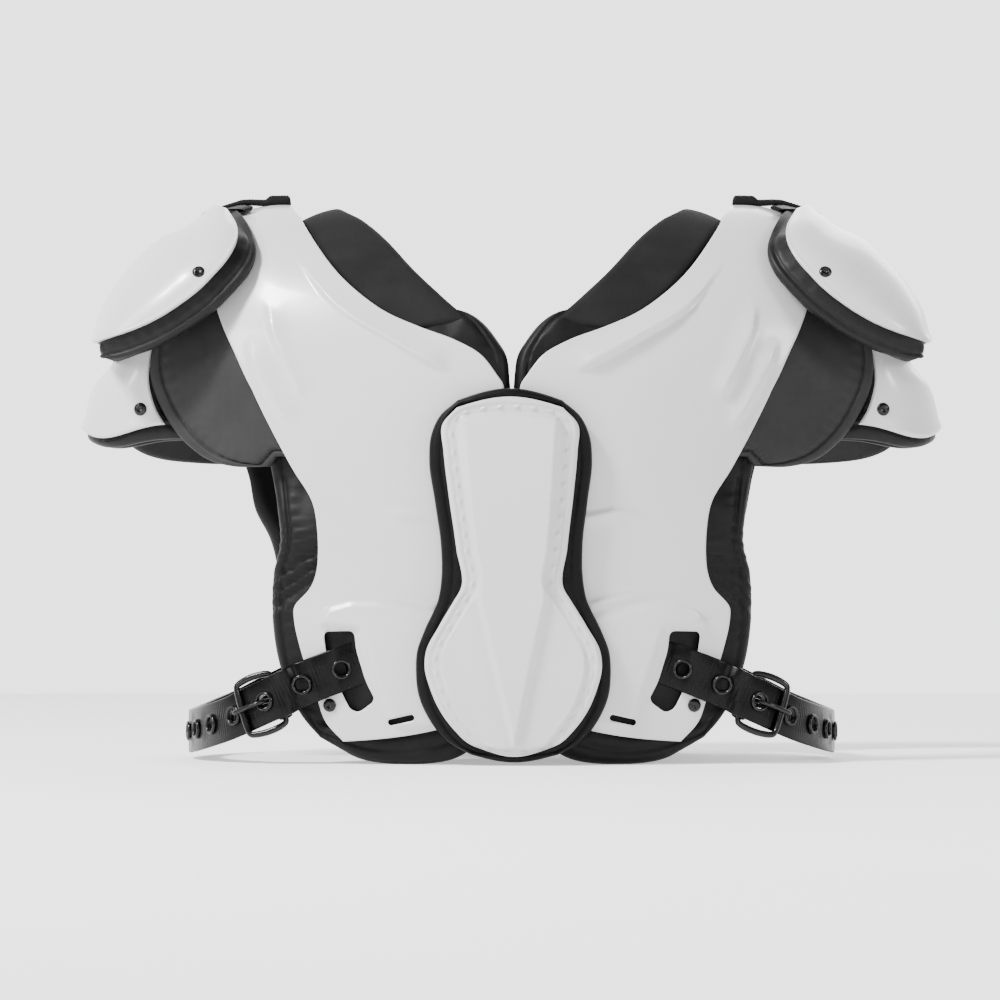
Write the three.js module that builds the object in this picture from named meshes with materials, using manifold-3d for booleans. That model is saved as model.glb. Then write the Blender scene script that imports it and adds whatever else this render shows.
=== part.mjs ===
// Football shoulder pads: two plastic arches over padded liners, laced together by a breastbone pad
// and a back pad, with shoulder caps, arm cups, armpit flaps, neck collars and two buckled side belts.
// Millimetres, +Z up, the wearer faces -Y. The part stands on the liners' lower hems at z = 0.
import * as THREE from "three";
import { mergeVertices } from "three/addons/utils/BufferGeometryUtils.js";
import Module from "manifold-3d";

const wasm = await Module();
wasm.setup();

// Driving dimensions of the body that everything hugs.
const crownHeight = 395; // liner side of the arch plates over the shoulder
const crownRise = 5; // underside of the webbing's folded end over that
const standHeight = crownHeight + crownRise; // tables give heights as shares of this
const bodyReach = 200; // tables give distances from the centre plane as shares of this
const archEdge = 1.065; // the arch's outer edge under the cap, as such a share
const archReach = archEdge * bodyReach;
const crownFall = 48; // width over which the shoulder line falls to that edge
const crownTurn = archReach - crownFall;
const crownDrop = 17; // how far it has fallen there
const shoulderRoll = 130; // height over which the chest turns over the shoulder
const chestDepth = 145; // centre plane to the liner side of the plates at the breastbone
const sideDepth = 95; // the same at the arch's outer edge
const depthPower = 2.2; // how late the chest rounds off sideways
const bellyTuck = 6; // how far the waist comes in at the hem

// Walls, pads and the clearances between them.
const seatGap = 1; // between two curved pieces that lie on each other
const layGap = 0.45; // between pieces that lie flat on each other
const rivetGap = 0.3;
const plateWall = 3;
const linerThick = 18;
const collarThick = 16;
const flapThick = 8;
const sternumThick = 12;
const flangeSink = 0.6; // the sternum plate's flange sits where its pad rounds off
const capPadThick = 9;
const cupPadThick = 8;

// Relief moulded into the arch plates.
const pocketRise = 4; // raised waist panel
const neckGroove = 1.4; // depth of the groove along the neckline
const panelRise = 1.6; // moulded panel of the breastbone plate

// Belts, buckles, eyelets and rivets.
const beltWidth = 31;
const beltThick = 2.5;
const beltRise = 8.8; // middle of the belt over the body where it lies on the plate
const plyGap = 0.5; // between the two plies of a belt
const barGap = 0.8; // between a buckle's base bar and the strap around it
const eyeletPitch = 30;
const eyeletCount = 7;
const eyeletBore = 4.4; // radius
const eyeletNeck = 5.2;
const eyeletFlange = 7.2;
const eyeletFlare = 0.6; // how much wider the bore is at its mouth
const eyeletBevel = 1;
const eyeletRise = 1.5; // height of the flange over the belt
const eyeletSides = 8;
const eyeletSeat = 0.8; // flange over the curved belt
const boreSlack = 0.4; // hole in the belt over the eyelet's neck
const buckleWire = 2.1; // radius
const buckleRun = 27; // base bar to outer bar, along the belt
const buckleSide = 4.6; // side bar clear of the belt's edge
const prongWire = 1.5;
const notchSlack = 1.2; // between the prong and the notch in its strap
const notchBack = 5; // how far behind the base bar the notch starts
const notchRun = 26;
const buckleStrapStart = 50; // along the belt
const eyeletFlat = 8; // half length of the straight stretch of belt under an eyelet
const pocketSlack = 1; // room around a belt's tucked end inside the liner
const pocketRun = 6; // room past that end
const webbingThick = 1.6;
const webbingWidth = 26;
const webbingBend = 1.2; // the crown falls away towards the webbing's edges
const rivetRadius = 4.6;
const rivetRise = 2.4;

// Columns across a sheet, as shares of its width: a plate is even, a pad is finer at its rolled edges.
const plateColumns = [0, 0.15, 0.37, 0.6, 0.82, 1];
const padColumns = [0, 0.07, 0.35, 0.65, 0.93, 1];
const spreadColumns = [0, 0.08, 0.34, 0.66, 0.92, 1];
const shellColumns = [0, 0.11, 0.23, 0.36, 0.5, 0.64, 0.77, 0.89, 1];
const domePadColumns = [0, 0.07, 0.25, 0.42, 0.58, 0.75, 0.93, 1];
const shellTurn = 90; // degrees that a cap or cup spans either side of its ridge
const FRONT = -1;
const BACK = 1;

const lerp = (a, b, t) => a + (b - a) * t;
const named = (names, rows) => rows.map((row) => Object.fromEntries(names.map((n, i) => [n, row[i]])));

// Arch plate, hem to shoulder: inner edge (centre line, then neckline) and outer edge.
// s is a share of bodyReach, z of standHeight, and bow the hem's dip between the edges.
const archRows = named(["inS", "inZ", "outS", "outZ", "bow"], [
  [0.075, 0.088, 0.59, 0.04, 0.01],
  [0.075, 0.16, 0.65, 0.073, 0.004],
  [0.075, 0.24, 0.685, 0.12, 0],
  [0.075, 0.31, 0.73, 0.184, 0],
  [0.075, 0.375, 0.763, 0.255, 0],
  [0.075, 0.42, 0.76, 0.278, 0],
  [0.075, 0.46, 0.705, 0.31, 0],
  [0.07, 0.49, 0.685, 0.336, 0],
  [0.062, 0.535, 0.685, 0.43, 0],
  [0.055, 0.57, 0.7, 0.462, 0],
  [0.043, 0.615, 0.77, 0.52, 0],
  [0.03, 0.665, 0.86, 0.604, 0],
  [0.053, 0.683, 0.9, 0.645, 0],
  [0.11, 0.718, 0.938, 0.683, 0],
  [0.2, 0.743, 0.97, 0.718, 0],
  [0.32, 0.765, 1.005, 0.755, 0],
  [0.445, 0.793, 1.033, 0.79, 0],
  [0.565, 0.838, 1.05, 0.825, 0],
  [0.64, 0.878, 1.06, 0.86, 0],
  [0.72, 0.935, 1.065, 0.895, 0],
  [0.765, 0.972, 1.065, 0.925, 0],
  [0.785, 0.984, 1.065, 0.941, 0],
]);
const archBackRows = [0, 4, 7, 10, 12, 13, 15, 16, 17, 18, 19, 20, 21]; // rows kept behind
const archCrown = { inS: 0.8, outS: archEdge };

// Padded liner under the plate. sink is how far its outer half drops behind the flap, as a share of
// the flap's thickness. Above the neckline its inner edge follows the collar's.
const linerRows = named(["inS", "inZ", "outS", "outZ", "bow", "sink"], [
  [0.06, 0.05, 0.685, 0.045, 0.06, 0],
  [0.04, 0.1, 0.75, 0.08, 0.035, 0],
  [0.03, 0.18, 0.83, 0.165, 0.012, 0],
  [0.02, 0.26, 0.86, 0.25, 0, 0],
  [0.012, 0.34, 0.858, 0.33, 0, 0],
  [0.01, 0.4, 0.832, 0.39, 0, 0],
  [0.0075, 0.46, 0.845, 0.445, 0, 0.3],
  [0.0075, 0.52, 0.87, 0.5, 0, 1],
  [0.0075, 0.6, 0.905, 0.58, 0, 1],
  [0.0075, 0.67, 0.94, 0.655, 0, 1],
  [0.05, 0.72, 0.96, 0.725, 0, 1],
  [0.33, 0.738, 0.97, 0.765, 0, 1],
  [0.45, 0.765, 0.975, 0.8, 0, 1],
  [0.56, 0.806, 0.98, 0.83, 0, 1],
  [0.63, 0.846, 0.98, 0.86, 0, 1],
  [0.7, 0.893, 0.98, 0.89, 0, 1],
  [0.77, 0.944, 0.98, 0.915, 0, 1],
  [0.8, 0.972, 0.98, 0.936, 0, 1],
]);
const linerCrown = { inS: 0.81, outS: 0.98, sink: 1 };
const linerSpread = { left: 8, right: 24 }; // the rear half stands out further at one armpit
const linerBackRows = [0, 1, 3, 5, 7, 9, 10, 11, 13, 15, 17];

// Neck collar: free edge and the edge tucked under the plate.
const collarRows = named(["inS", "inZ", "outS", "outZ", "bow"], [
  [0.078, 0.738, 0.31, 0.746, 0],
  [0.15, 0.783, 0.37, 0.76, 0],
  [0.24, 0.826, 0.47, 0.79, 0],
  [0.345, 0.878, 0.57, 0.836, 0],
  [0.44, 0.932, 0.65, 0.884, 0],
  [0.52, 0.967, 0.74, 0.947, 0],
  [0.575, 0.982, 0.78, 0.979, 0],
]);
const collarCrown = { inS: 0.595, outS: 0.79 };
const collarSag = 15; // how far the collar's tucked edge hangs under the crown
const collarBackRows = [0, 2, 4, 5, 6];

// Armpit flap: edge held under the plate, and the free edge with its depth as a share of sideDepth.
const flapRows = named(["inS", "inZ", "outS", "outZ", "outY", "backS", "backZ"], [
  [1.0, 0.86, 1.24, 0.78, 0.655, 1.3, 0.78],
  [0.98, 0.805, 1.28, 0.73, 0.66, 1.37, 0.725],
  [0.945, 0.75, 1.283, 0.68, 0.66, 1.4, 0.66],
  [0.905, 0.695, 1.24, 0.622, 0.692, 1.41, 0.6],
  [0.86, 0.645, 1.15, 0.562, 0.82, 1.37, 0.555],
  [0.83, 0.61, 1.07, 0.534, 0.92, 1.27, 0.537],
  [0.79, 0.575, 0.985, 0.523, 1.02, 1.12, 0.53],
  [0.745, 0.54, 0.85, 0.523, 1.12, 0.92, 0.53],
]);
const flapHold = 18; // width of the strip that lies under the plate and just past its edge
const flapHoldColumn = 0.35;

// Shoulder cap, from its inner end outwards: ridge point, edge point and half span front to back as a
// share of sideDepth.
const capRows = named(["ridgeS", "ridgeZ", "edgeS", "edgeZ", "span"], [
  [1.065, 0.995, 1.025, 0.988, 0.316],
  [1.11, 0.978, 0.975, 0.95, 0.779],
  [1.18, 0.953, 0.985, 0.905, 1.053],
  [1.265, 0.933, 1.07, 0.85, 1.179],
  [1.35, 0.895, 1.17, 0.808, 1.2],
  [1.42, 0.853, 1.27, 0.778, 1.179],
  [1.475, 0.805, 1.375, 0.757, 1.116],
  [1.503, 0.746, 1.475, 0.743, 0.968],
]);
// The pad under it starts further in and ends further out.
const capPadStart = { ridgeS: 0.96, ridgeZ: 1.012, edgeS: 0.93, edgeZ: 0.998, span: 0.421 };
const capPadEnd = { ridgeS: 1.5, ridgeZ: 0.718, edgeS: 1.46, edgeZ: 0.715, span: 0.842 };
const capPadReach = 14; // rolled rim of the pad past the cap's edge
const capPadFan = 13; // degrees the reach turns from inwards to downwards with each row
const capPadTurn = 92; // degrees either side of the ridge

// Arm cup, from under the cap pad downwards. dip lowers the hem between ridge and edge.
const cupRows = named(["ridgeS", "ridgeZ", "edgeS", "edgeZ", "span", "dip"], [
  [1.41, 0.748, 1.27, 0.742, 0.589, 0],
  [1.44, 0.706, 1.288, 0.706, 0.632, 0],
  [1.5, 0.67, 1.29, 0.67, 0.653, 0],
  [1.53, 0.625, 1.265, 0.625, 0.674, 0],
  [1.545, 0.59, 1.232, 0.598, 0.695, 0.018],
]);
const cupPadEnd = { ridgeS: 1.55, ridgeZ: 0.573, edgeS: 1.2, edgeZ: 0.573, span: 0.705, dip: 0.016 };
const cupPadTurn = 100;
const archClearance = 3.8; // between the cap pad and the arch plate it rests over
const capGap = 2.3; // between a cap and the pad that lines it
const cupGap = 1.5; // between a cup and its pad

// Webbing over the crown, from its folded end out to the cap: its underside and its plies.
const webbingRows = named(["s", "z", "plies"], [
  [0.8, 0.996, 2.6],
  [0.81, 0.996, 3.2],
  [0.87, 0.9955, 3.2],
  [0.885, 0.995, 1.2],
  [0.94, 0.997, 1],
  [0.97, 0.997, 1],
  [1.045, 0.9885, 1],
]);

// Breastbone pad and its plate, and the plain pair on the back: heights and half widths.
const sternumPlateRows = named(["z", "half", "bow"], [
  [0.625, 0.18, 0.019],
  [0.595, 0.23, 0.01],
  [0.55, 0.227, 0],
  [0.48, 0.213, 0],
  [0.38, 0.188, 0],
  [0.31, 0.175, 0],
  [0.288, 0.2, 0],
  [0.245, 0.25, 0],
  [0.2, 0.295, 0],
  [0.175, 0.3, 0],
  [0.135, 0.282, 0],
  [0.1, 0.253, 0],
  [0.065, 0.205, 0],
  [0.04, 0.153, -0.01],
  [0.03, 0.105, -0.0125],
]);
const sternumPadRows = named(["z", "half", "bow"], [
  [0.638, 0.18, 0.021],
  [0.608, 0.245, 0.0125],
  [0.575, 0.273, 0.005],
  [0.535, 0.28, 0],
  [0.46, 0.262, 0],
  [0.388, 0.244, 0],
  [0.33, 0.243, 0],
  [0.295, 0.253, 0],
  [0.235, 0.305, 0],
  [0.2, 0.33, 0],
  [0.165, 0.335, 0],
  [0.12, 0.325, 0],
  [0.08, 0.29, 0],
  [0.045, 0.235, -0.008],
  [0.02, 0.15, -0.014],
]);
const sternumLean = 5; // the breastbone piece sits this much off plumb, top to bottom
const backPadRows = named(["z", "half", "bow"], [
  [0.6, 0.16, 0.01],
  [0.58, 0.21, 0.004],
  [0.52, 0.235, 0],
  [0.4, 0.2, 0],
  [0.26, 0.235, 0],
  [0.17, 0.21, -0.004],
  [0.15, 0.16, -0.01],
]);
const backPlateInset = 0.05; // the back plate's edge inside its pad's, as a share of bodyReach

// Side belt in front, from its tucked end to the widest point: lift is over the body surface, as a
// share of beltRise, and depth, where given, replaces it as a share of chestDepth.
const beltRows = named(["s", "z", "lift", "depth"], [
  [0.43, 0.2, -0.273, null],
  [0.49, 0.188, -0.273, null],
  [0.545, 0.177, -0.261, null],
  [0.614, 0.1635, 0.67, null],
  [0.67, 0.1525, 0.977, null],
  [0.73, 0.14, 1, null],
  [0.8, 0.125, null, 0.895],
  [0.88, 0.1065, null, 0.84],
  [0.99, 0.08, null, 0.71],
  [1.08, 0.0625, null, 0.5],
  [1.135, 0.0525, null, 0.26],
  [1.155, 0.049, null, 0],
]);
const firstEyelet = 38; // along the belt from its tucked end
const prongEyelet = 2;

// Belt opening in the plate, and the lacing slot below it, as outlines.
const beltOpening = named(["s", "z"], [
  [0.662, 0.233],
  [0.553, 0.2345],
  [0.546, 0.2],
  [0.512, 0.145],
  [0.483, 0.117],
  [0.49, 0.1085],
  [0.537, 0.091],
  [0.568, 0.097],
  [0.593, 0.121],
  [0.651, 0.1925],
]);
const plateRivet = { s: 0.635, z: 0.104 };
const slotMiddle = { s: 0.388, z: 0.0785 };
const slotLength = 19;
const slotHeight = 4.4;
const slotTilt = 13; // degrees, rising towards the centre

// Body surface

function crownAt(s) {
  const past = Math.max(0, s - crownTurn) / (archReach - crownTurn);
  return crownHeight - crownDrop * past * past;
}

// The turn q at a height: 0 at the crown, 1 where the shoulder roll meets the chest, 2 at the floor.
function turnAt(s, z) {
  const foot = crownAt(s) - shoulderRoll;
  if (z <= foot) return 2 - z / foot;
  return Math.acos(Math.min(1, (z - foot) / shoulderRoll)) / (Math.PI / 2);
}

function onBody(s, q, face) {
  const foot = crownAt(s) - shoulderRoll;
  const depth = chestDepth - (chestDepth - sideDepth) * (Math.abs(s) / archReach) ** depthPower;
  if (q > 1) return new THREE.Vector3(s, face * (depth - bellyTuck * (q - 1) ** 2), foot * (2 - q));
  const angle = (q * Math.PI) / 2;
  return new THREE.Vector3(s, face * depth * Math.sin(angle), foot + shoulderRoll * Math.cos(angle));
}

// A point on the body at distance s from the centre plane and turn q, lifted outwards.
function bodyPoint(s, q, face, lift) {
  const step = 0.5;
  const turnStep = 0.004;
  const here = onBody(s, q, face);
  const across = onBody(s + step, q, face).sub(onBody(s - step, q, face));
  const along = onBody(s, q + turnStep, face).sub(onBody(s, Math.max(0, q - turnStep), face));
  const normal = across.cross(along).normalize();
  if (normal.dot(new THREE.Vector3(0, face, 0.3)) < 0) normal.negate();
  if (q < turnStep) normal.set(normal.x, 0, normal.z).normalize();
  return here.addScaledVector(normal, lift);
}

// Building solids

// A closed solid from points and quads or triangles, turned to face out.
function solid(points, faces) {
  const index = [];
  for (const f of faces) {
    index.push(f[0], f[1], f[2]);
    if (f.length === 4) index.push(f[0], f[2], f[3]);
  }
  let volume = 0;
  for (let i = 0; i < index.length; i += 3) {
    const [a, b, c] = [points[index[i]], points[index[i + 1]], points[index[i + 2]]];
    volume += a.dot(new THREE.Vector3().crossVectors(b, c));
  }
  if (volume < 0) index.reverse();
  const made = new THREE.BufferGeometry().setFromPoints(points);
  made.setIndex(index);
  return made;
}

// A closed sheet between two grids of the same columns and rows.
function sheet(columns, rows, outerAt, innerAt) {
  const points = [];
  for (const at of [outerAt, innerAt]) {
    for (let j = 0; j < rows; j += 1) for (const u of columns) points.push(at(u, j));
  }
  const wide = columns.length;
  const under = wide * rows;
  const faces = [];
  for (let j = 0; j + 1 < rows; j += 1) {
    for (let i = 0; i + 1 < wide; i += 1) {
      const a = j * wide + i;
      faces.push([a, a + 1, a + wide + 1, a + wide]);
      faces.push([under + a, under + a + wide, under + a + wide + 1, under + a + 1]);
    }
    const left = j * wide;
    const right = left + wide - 1;
    faces.push([left, left + wide, under + left + wide, under + left]);
    faces.push([right, under + right, under + right + wide, right + wide]);
  }
  for (let i = 0; i + 1 < wide; i += 1) {
    const last = (rows - 1) * wide + i;
    faces.push([i, under + i, under + i + 1, i + 1]);
    faces.push([last, last + 1, under + last + 1, under + last]);
  }
  return solid(points, faces);
}

// A closed solid through rings of points, open-ended with flat caps or closed on itself.
function rings(list, closed) {
  const around = list[0].length;
  const faces = [];
  const spans = closed ? list.length : list.length - 1;
  for (let k = 0; k < spans; k += 1) {
    const [a, b] = [k * around, ((k + 1) % list.length) * around];
    for (let i = 0; i < around; i += 1) {
      const next = (i + 1) % around;
      const quad = [a + i, a + next, b + next, b + i];
      // Opposite sides are split along the same diagonal, so plies of a twisted ribbon stay apart.
      faces.push(i < around / 2 ? quad : [quad[1], quad[2], quad[3], quad[0]]);
    }
  }
  if (!closed) {
    const last = (list.length - 1) * around;
    for (let i = 1; i + 1 < around; i += 1) {
      faces.push([0, i + 1, i]);
      faces.push([last, last + i, last + i + 1]);
    }
  }
  return solid(list.flat(), faces);
}

// A round wire through centre points that lie near the plane square to facing.
function wire(centres, radius, sides, closed, facing) {
  const count = centres.length;
  return rings(
    centres.map((centre, k) => {
      const before = centres[closed ? (k + count - 1) % count : Math.max(0, k - 1)];
      const after = centres[closed ? (k + 1) % count : Math.min(count - 1, k + 1)];
      const along = new THREE.Vector3().subVectors(after, before).normalize();
      const side = new THREE.Vector3().crossVectors(along, facing).normalize();
      const top = new THREE.Vector3().crossVectors(side, along);
      return Array.from({ length: sides }, (_, i) => {
        const a = (2 * Math.PI * i) / sides;
        return centre
          .clone()
          .addScaledVector(side, radius * Math.cos(a))
          .addScaledVector(top, radius * Math.sin(a));
      });
    }),
    closed,
  );
}

function toManifold(geometry) {
  const bare = geometry.clone();
  bare.deleteAttribute("normal");
  bare.deleteAttribute("uv");
  const merged = mergeVertices(bare, 1e-3);
  return new wasm.Manifold(
    new wasm.Mesh({
      numProp: 3,
      vertProperties: new Float32Array(merged.attributes.position.array),
      triVerts: new Uint32Array(merged.index.array),
    }),
  );
}

function fromManifold(made) {
  const mesh = made.getMesh();
  const geometry = new THREE.BufferGeometry();
  geometry.setAttribute("position", new THREE.BufferAttribute(new Float32Array(mesh.vertProperties), 3));
  geometry.setIndex(new THREE.BufferAttribute(new Uint32Array(mesh.triVerts), 1));
  return geometry;
}

function cut(geometry, ...tools) {
  return fromManifold(tools.reduce((rest, tool) => rest.subtract(toManifold(tool)), toManifold(geometry)));
}

// Pieces that hug the body

// The stations of a body sheet: front rows from hem to shoulder, the crown, then the rows kept behind.
function stations(rows, crown, backRows) {
  const front = rows.map((row) => ({ ...row, face: FRONT }));
  const back = backRows.map((i) => ({ ...rows[i], face: BACK }));
  return [...front, { ...crown, face: FRONT }, ...back.reverse()];
}

// Distance from the centre plane, turn and face at a column of a station.
function place(station, u) {
  const s = lerp(station.inS, station.outS, u) * bodyReach;
  if (station.inZ === undefined) return { s, q: 0, z: crownAt(s), face: FRONT };
  const bow = station.bow * Math.sin(Math.PI * u) * standHeight;
  const z = Math.max(0, lerp(station.inZ, station.outZ, u) * standHeight - bow);
  return { s, z, q: turnAt(s, z), face: station.face };
}

const smooth = (low, high, x) => {
  const t = Math.min(1, Math.max(0, (x - low) / (high - low)));
  return t * t * (3 - 2 * t);
};

// The raised waist panel on an arch plate's front, and the groove along its neckline.
function panelRelief(s, z, face) {
  if (face !== FRONT) return 0;
  const [a, b] = [s / bodyReach, z / standHeight];
  return pocketRise * smooth(0.31, 0.37, a) * (1 - smooth(0.5, 0.54, a)) * (1 - smooth(0.22, 0.29, b));
}

function grooveRelief(z, u, face) {
  const onNeckline = u > 0.1 && u < 0.2 && z > 0.7 * standHeight && z < 0.86 * standHeight;
  return face === FRONT && onNeckline ? -neckGroove : 0;
}

function archPlate() {
  const list = stations(archRows, archCrown, archBackRows);
  const at = (outer) => (u, j) => {
    const p = place(list[j], u);
    const relief = panelRelief(p.s, p.z, p.face) + (outer ? plateWall + grooveRelief(p.z, u, p.face) : 0);
    return bodyPoint(p.s, p.q, p.face, relief);
  };
  const plate = sheet(plateColumns, list.length, at(true), at(false));
  return cut(plate, throughFront(beltOpening, FRONT), throughFront(beltOpening, BACK), lacingSlot());
}

// A cutter of an outline through the front or the back.
function throughFront(outline, face) {
  const shape = new THREE.Shape(outline.map((p) => new THREE.Vector2(p.s * bodyReach, p.z * standHeight)));
  const reach = chestDepth + linerThick;
  const tool = new THREE.ExtrudeGeometry(shape, { depth: reach, bevelEnabled: false });
  tool.rotateX(Math.PI / 2);
  if (face === BACK) tool.translate(0, reach, 0);
  return tool;
}

function lacingSlot() {
  const half = slotLength / 2 - slotHeight / 2;
  const shape = new THREE.Shape();
  shape.absarc(half, 0, slotHeight / 2, -Math.PI / 2, Math.PI / 2, false);
  shape.absarc(-half, 0, slotHeight / 2, Math.PI / 2, (3 * Math.PI) / 2, false);
  const depth = chestDepth + linerThick;
  const tool = new THREE.ExtrudeGeometry(shape, { depth, bevelEnabled: false, curveSegments: 4 });
  tool.rotateX(Math.PI / 2);
  tool.rotateY(THREE.MathUtils.degToRad(slotTilt));
  return tool.translate(slotMiddle.s * bodyReach, 0, slotMiddle.z * standHeight);
}

// Half thickness of a padded sheet near its edges, as a share: full inside, rolled at the rim.
function rim(u, j, rows) {
  const ends = Math.min(j, rows - 1 - j);
  const edge = Math.min(u, 1 - u);
  return edge < 0.01 || ends === 0 ? 0.4 : edge < 0.1 || ends === 1 ? 0.86 : 1;
}

// A padded sheet that hugs the body just under the plate. A hem that reaches the floor lies flat on it.
function bodyPad(list, gap, thick, sinkBy, sagBy) {
  const lift = (u, q, j, side) => {
    const sunk = (list[j].sink ?? 0) * sinkBy * smooth(0.4, 0.93, u);
    const sag = sagBy * u * u * Math.max(0, 1 - 2 * q);
    const half = ((thick - sunk) / 2) * rim(u, j, list.length);
    return -gap - sag - sunk - (thick - sunk) / 2 + side * half;
  };
  const at = (side) => (u, j) => {
    const p = place(list[j], u);
    const point = bodyPoint(p.s, p.q, p.face, lift(u, p.q, j, side));
    if (p.z === 0) point.z = 0;
    return point;
  };
  return sheet(padColumns, list.length, at(1), at(-1));
}

// spread is how far the rear half stands out sideways past the front half at the armpit.
function liner(spread) {
  const list = stations(linerRows, linerCrown, linerBackRows).map((row) => {
    const bulge = row.face === BACK ? smooth(0.3, 0.48, row.inZ) * (1 - smooth(0.6, 0.72, row.inZ)) : 0;
    return { ...row, outS: row.outS + (bulge * spread) / bodyReach };
  });
  const pad = bodyPad(list, seatGap, linerThick, flapThick + 2 * seatGap, 0);
  return cut(pad, beltPocket(FRONT), beltPocket(BACK));
}

function collar() {
  const list = stations(collarRows, collarCrown, collarBackRows);
  return bodyPad(list, -layGap, collarThick, 0, collarSag);
}

// The flap lies under the plate's outer edge, then hangs out to a free edge in front of the arm cup.
function flap(face) {
  const middle = -seatGap - flapThick / 2;
  const at = (side) => (u, j) => {
    const row = flapRows[j];
    const half = (flapThick / 2) * rim(u, j, flapRows.length);
    const s = row.inS * bodyReach + flapHold * Math.min(1, u / flapHoldColumn);
    const q = turnAt(s, row.inZ * standHeight);
    if (u <= flapHoldColumn) return bodyPoint(s, q, face, middle + side * half);
    const out = (u - flapHoldColumn) / (1 - flapHoldColumn);
    const [freeS, freeZ] = face === BACK ? [row.backS, row.backZ] : [row.outS, row.outZ];
    const free = new THREE.Vector3(freeS * bodyReach, face * row.outY * sideDepth, freeZ * standHeight);
    return bodyPoint(s, q, face, middle).lerp(free, out).add(new THREE.Vector3(0, face * side * half, 0));
  };
  return sheet(padColumns, flapRows.length, at(1), at(-1));
}

// Caps and cups: sections that arch from front to back over the shoulder or the arm

function domeAt(row, turn) {
  const away = 1 - Math.cos(turn);
  const dip = (row.dip ?? 0) * Math.sin(2 * turn) ** 2;
  return new THREE.Vector3(
    lerp(row.ridgeS, row.edgeS, away) * bodyReach,
    row.span * Math.sin(turn) * sideDepth,
    (lerp(row.ridgeZ, row.edgeZ, away) - dip) * standHeight,
  );
}

const domeRimTurn = 1.46; // radians

// Outward normal, taken a little in from the rims where the surface narrows.
function domeNormal(list, j, turn) {
  const k = Math.min(list.length - 2, Math.max(1, j));
  const inside = Math.min(domeRimTurn, Math.max(-domeRimTurn, turn));
  const step = 0.02;
  const across = domeAt(list[k], inside + step).sub(domeAt(list[k], inside - step));
  return domeAt(list[k + 1], inside).sub(domeAt(list[k - 1], inside)).cross(across).normalize();
}

function dome(list, turnDegrees, columns, liftAt) {
  const at = (side) => (u, j) => {
    const turn = THREE.MathUtils.degToRad(lerp(-turnDegrees, turnDegrees, u));
    return domeAt(list[j], turn).addScaledVector(domeNormal(list, j, turn), liftAt(u, j, side));
  };
  return sheet(columns, list.length, at(1), at(-1));
}

// The plastic shell of a cap or cup.
const shell = (rows) => dome(rows, shellTurn, shellColumns, (u, j, side) => (side > 0 ? 0 : -plateWall));

// Lifts of a pad that lines a plate from inside.
function lining(thick, gap, rows) {
  return (u, j, side) => -plateWall - gap - thick / 2 + (side * thick * rim(u, j, rows)) / 2;
}

// Pushes a point out of the arch's crown, to a clearance over the plate.
function clearOfArch(point) {
  const foot = crownAt(point.x) - shoulderRoll;
  if (point.z <= foot) return point;
  const depth = onBody(point.x, 1, BACK).y + plateWall + archClearance;
  const rise = shoulderRoll + plateWall + archClearance;
  const share = Math.hypot((point.z - foot) / rise, point.y / depth);
  if (share >= 1) return point;
  return point.set(point.x, point.y / share, foot + (point.z - foot) / share);
}

function capPad() {
  const list = [capPadStart, ...capRows, capPadEnd];
  const last = list.length - 1;
  const liftAt = lining(capPadThick, capGap, list.length);
  const at = (side) => (u, j) => {
    const turn = THREE.MathUtils.degToRad(lerp(-capPadTurn, capPadTurn, u));
    const point = domeAt(list[j], turn).addScaledVector(domeNormal(list, j, turn), liftAt(u, j, side));
    const fan = THREE.MathUtils.degToRad((j - 1) * capPadFan);
    const reach = (u === 0 || u === 1) && j > 0 ? capPadReach * (j < last ? 1 : 0.3) : 0;
    return clearOfArch(point.add(new THREE.Vector3(-reach * Math.cos(fan), 0, -reach * Math.sin(fan))));
  };
  return sheet(domePadColumns, list.length, at(1), at(-1));
}

function cupPad() {
  const list = [...cupRows, cupPadEnd];
  return dome(list, cupPadTurn, domePadColumns, lining(cupPadThick, cupGap, list.length));
}

// Breastbone and back pieces

const sternumPadLift = plateWall + layGap + sternumThick / 2;
const sternumPlateLift = sternumPadLift + sternumThick / 2 + layGap - flangeSink;

function spread(rows, face, inset, lean, liftAt) {
  const at = (side) => (u, j) => {
    const row = rows[j];
    const z = row.z * standHeight + row.bow * Math.sin(Math.PI * u) * standHeight;
    const middle = lean * (0.5 - z / crownHeight) - lean * 0.15;
    const x = middle + lerp(-1, 1, u) * (row.half - inset) * bodyReach;
    return bodyPoint(x, turnAt(Math.abs(x), z), face, liftAt(u, j, side));
  };
  return sheet(spreadColumns, rows.length, at(1), at(-1));
}

function chestPad(rows, face, lean) {
  return spread(rows, face, 0, lean, (u, j, side) => {
    return sternumPadLift + (side * sternumThick * rim(u, j, rows.length)) / 2;
  });
}

function chestPlate(rows, face, inset, lean) {
  return spread(rows, face, inset, lean, (u, j, side) => {
    const inPanel = u > 0.2 && u < 0.8 && j > 0 && j < rows.length - 2;
    return sternumPlateLift + (inPanel ? panelRise : 0) + (side > 0 ? plateWall : 0);
  });
}

// Belts

const beltLine = new THREE.CatmullRomCurve3(beltPoints(), false, "centripetal");
beltLine.arcLengthDivisions = 800;
const beltLength = beltLine.getLength();

function beltPoints() {
  const front = beltRows.map((row) => {
    const [s, z] = [row.s * bodyReach, row.z * standHeight];
    if (row.lift === null) return new THREE.Vector3(s, -row.depth * chestDepth, z);
    return bodyPoint(s, turnAt(s, z), FRONT, row.lift * beltRise);
  });
  const back = front.slice(0, -1).map((p) => new THREE.Vector3(p.x, -p.y, p.z));
  return [...front, ...back.reverse()];
}

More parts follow.
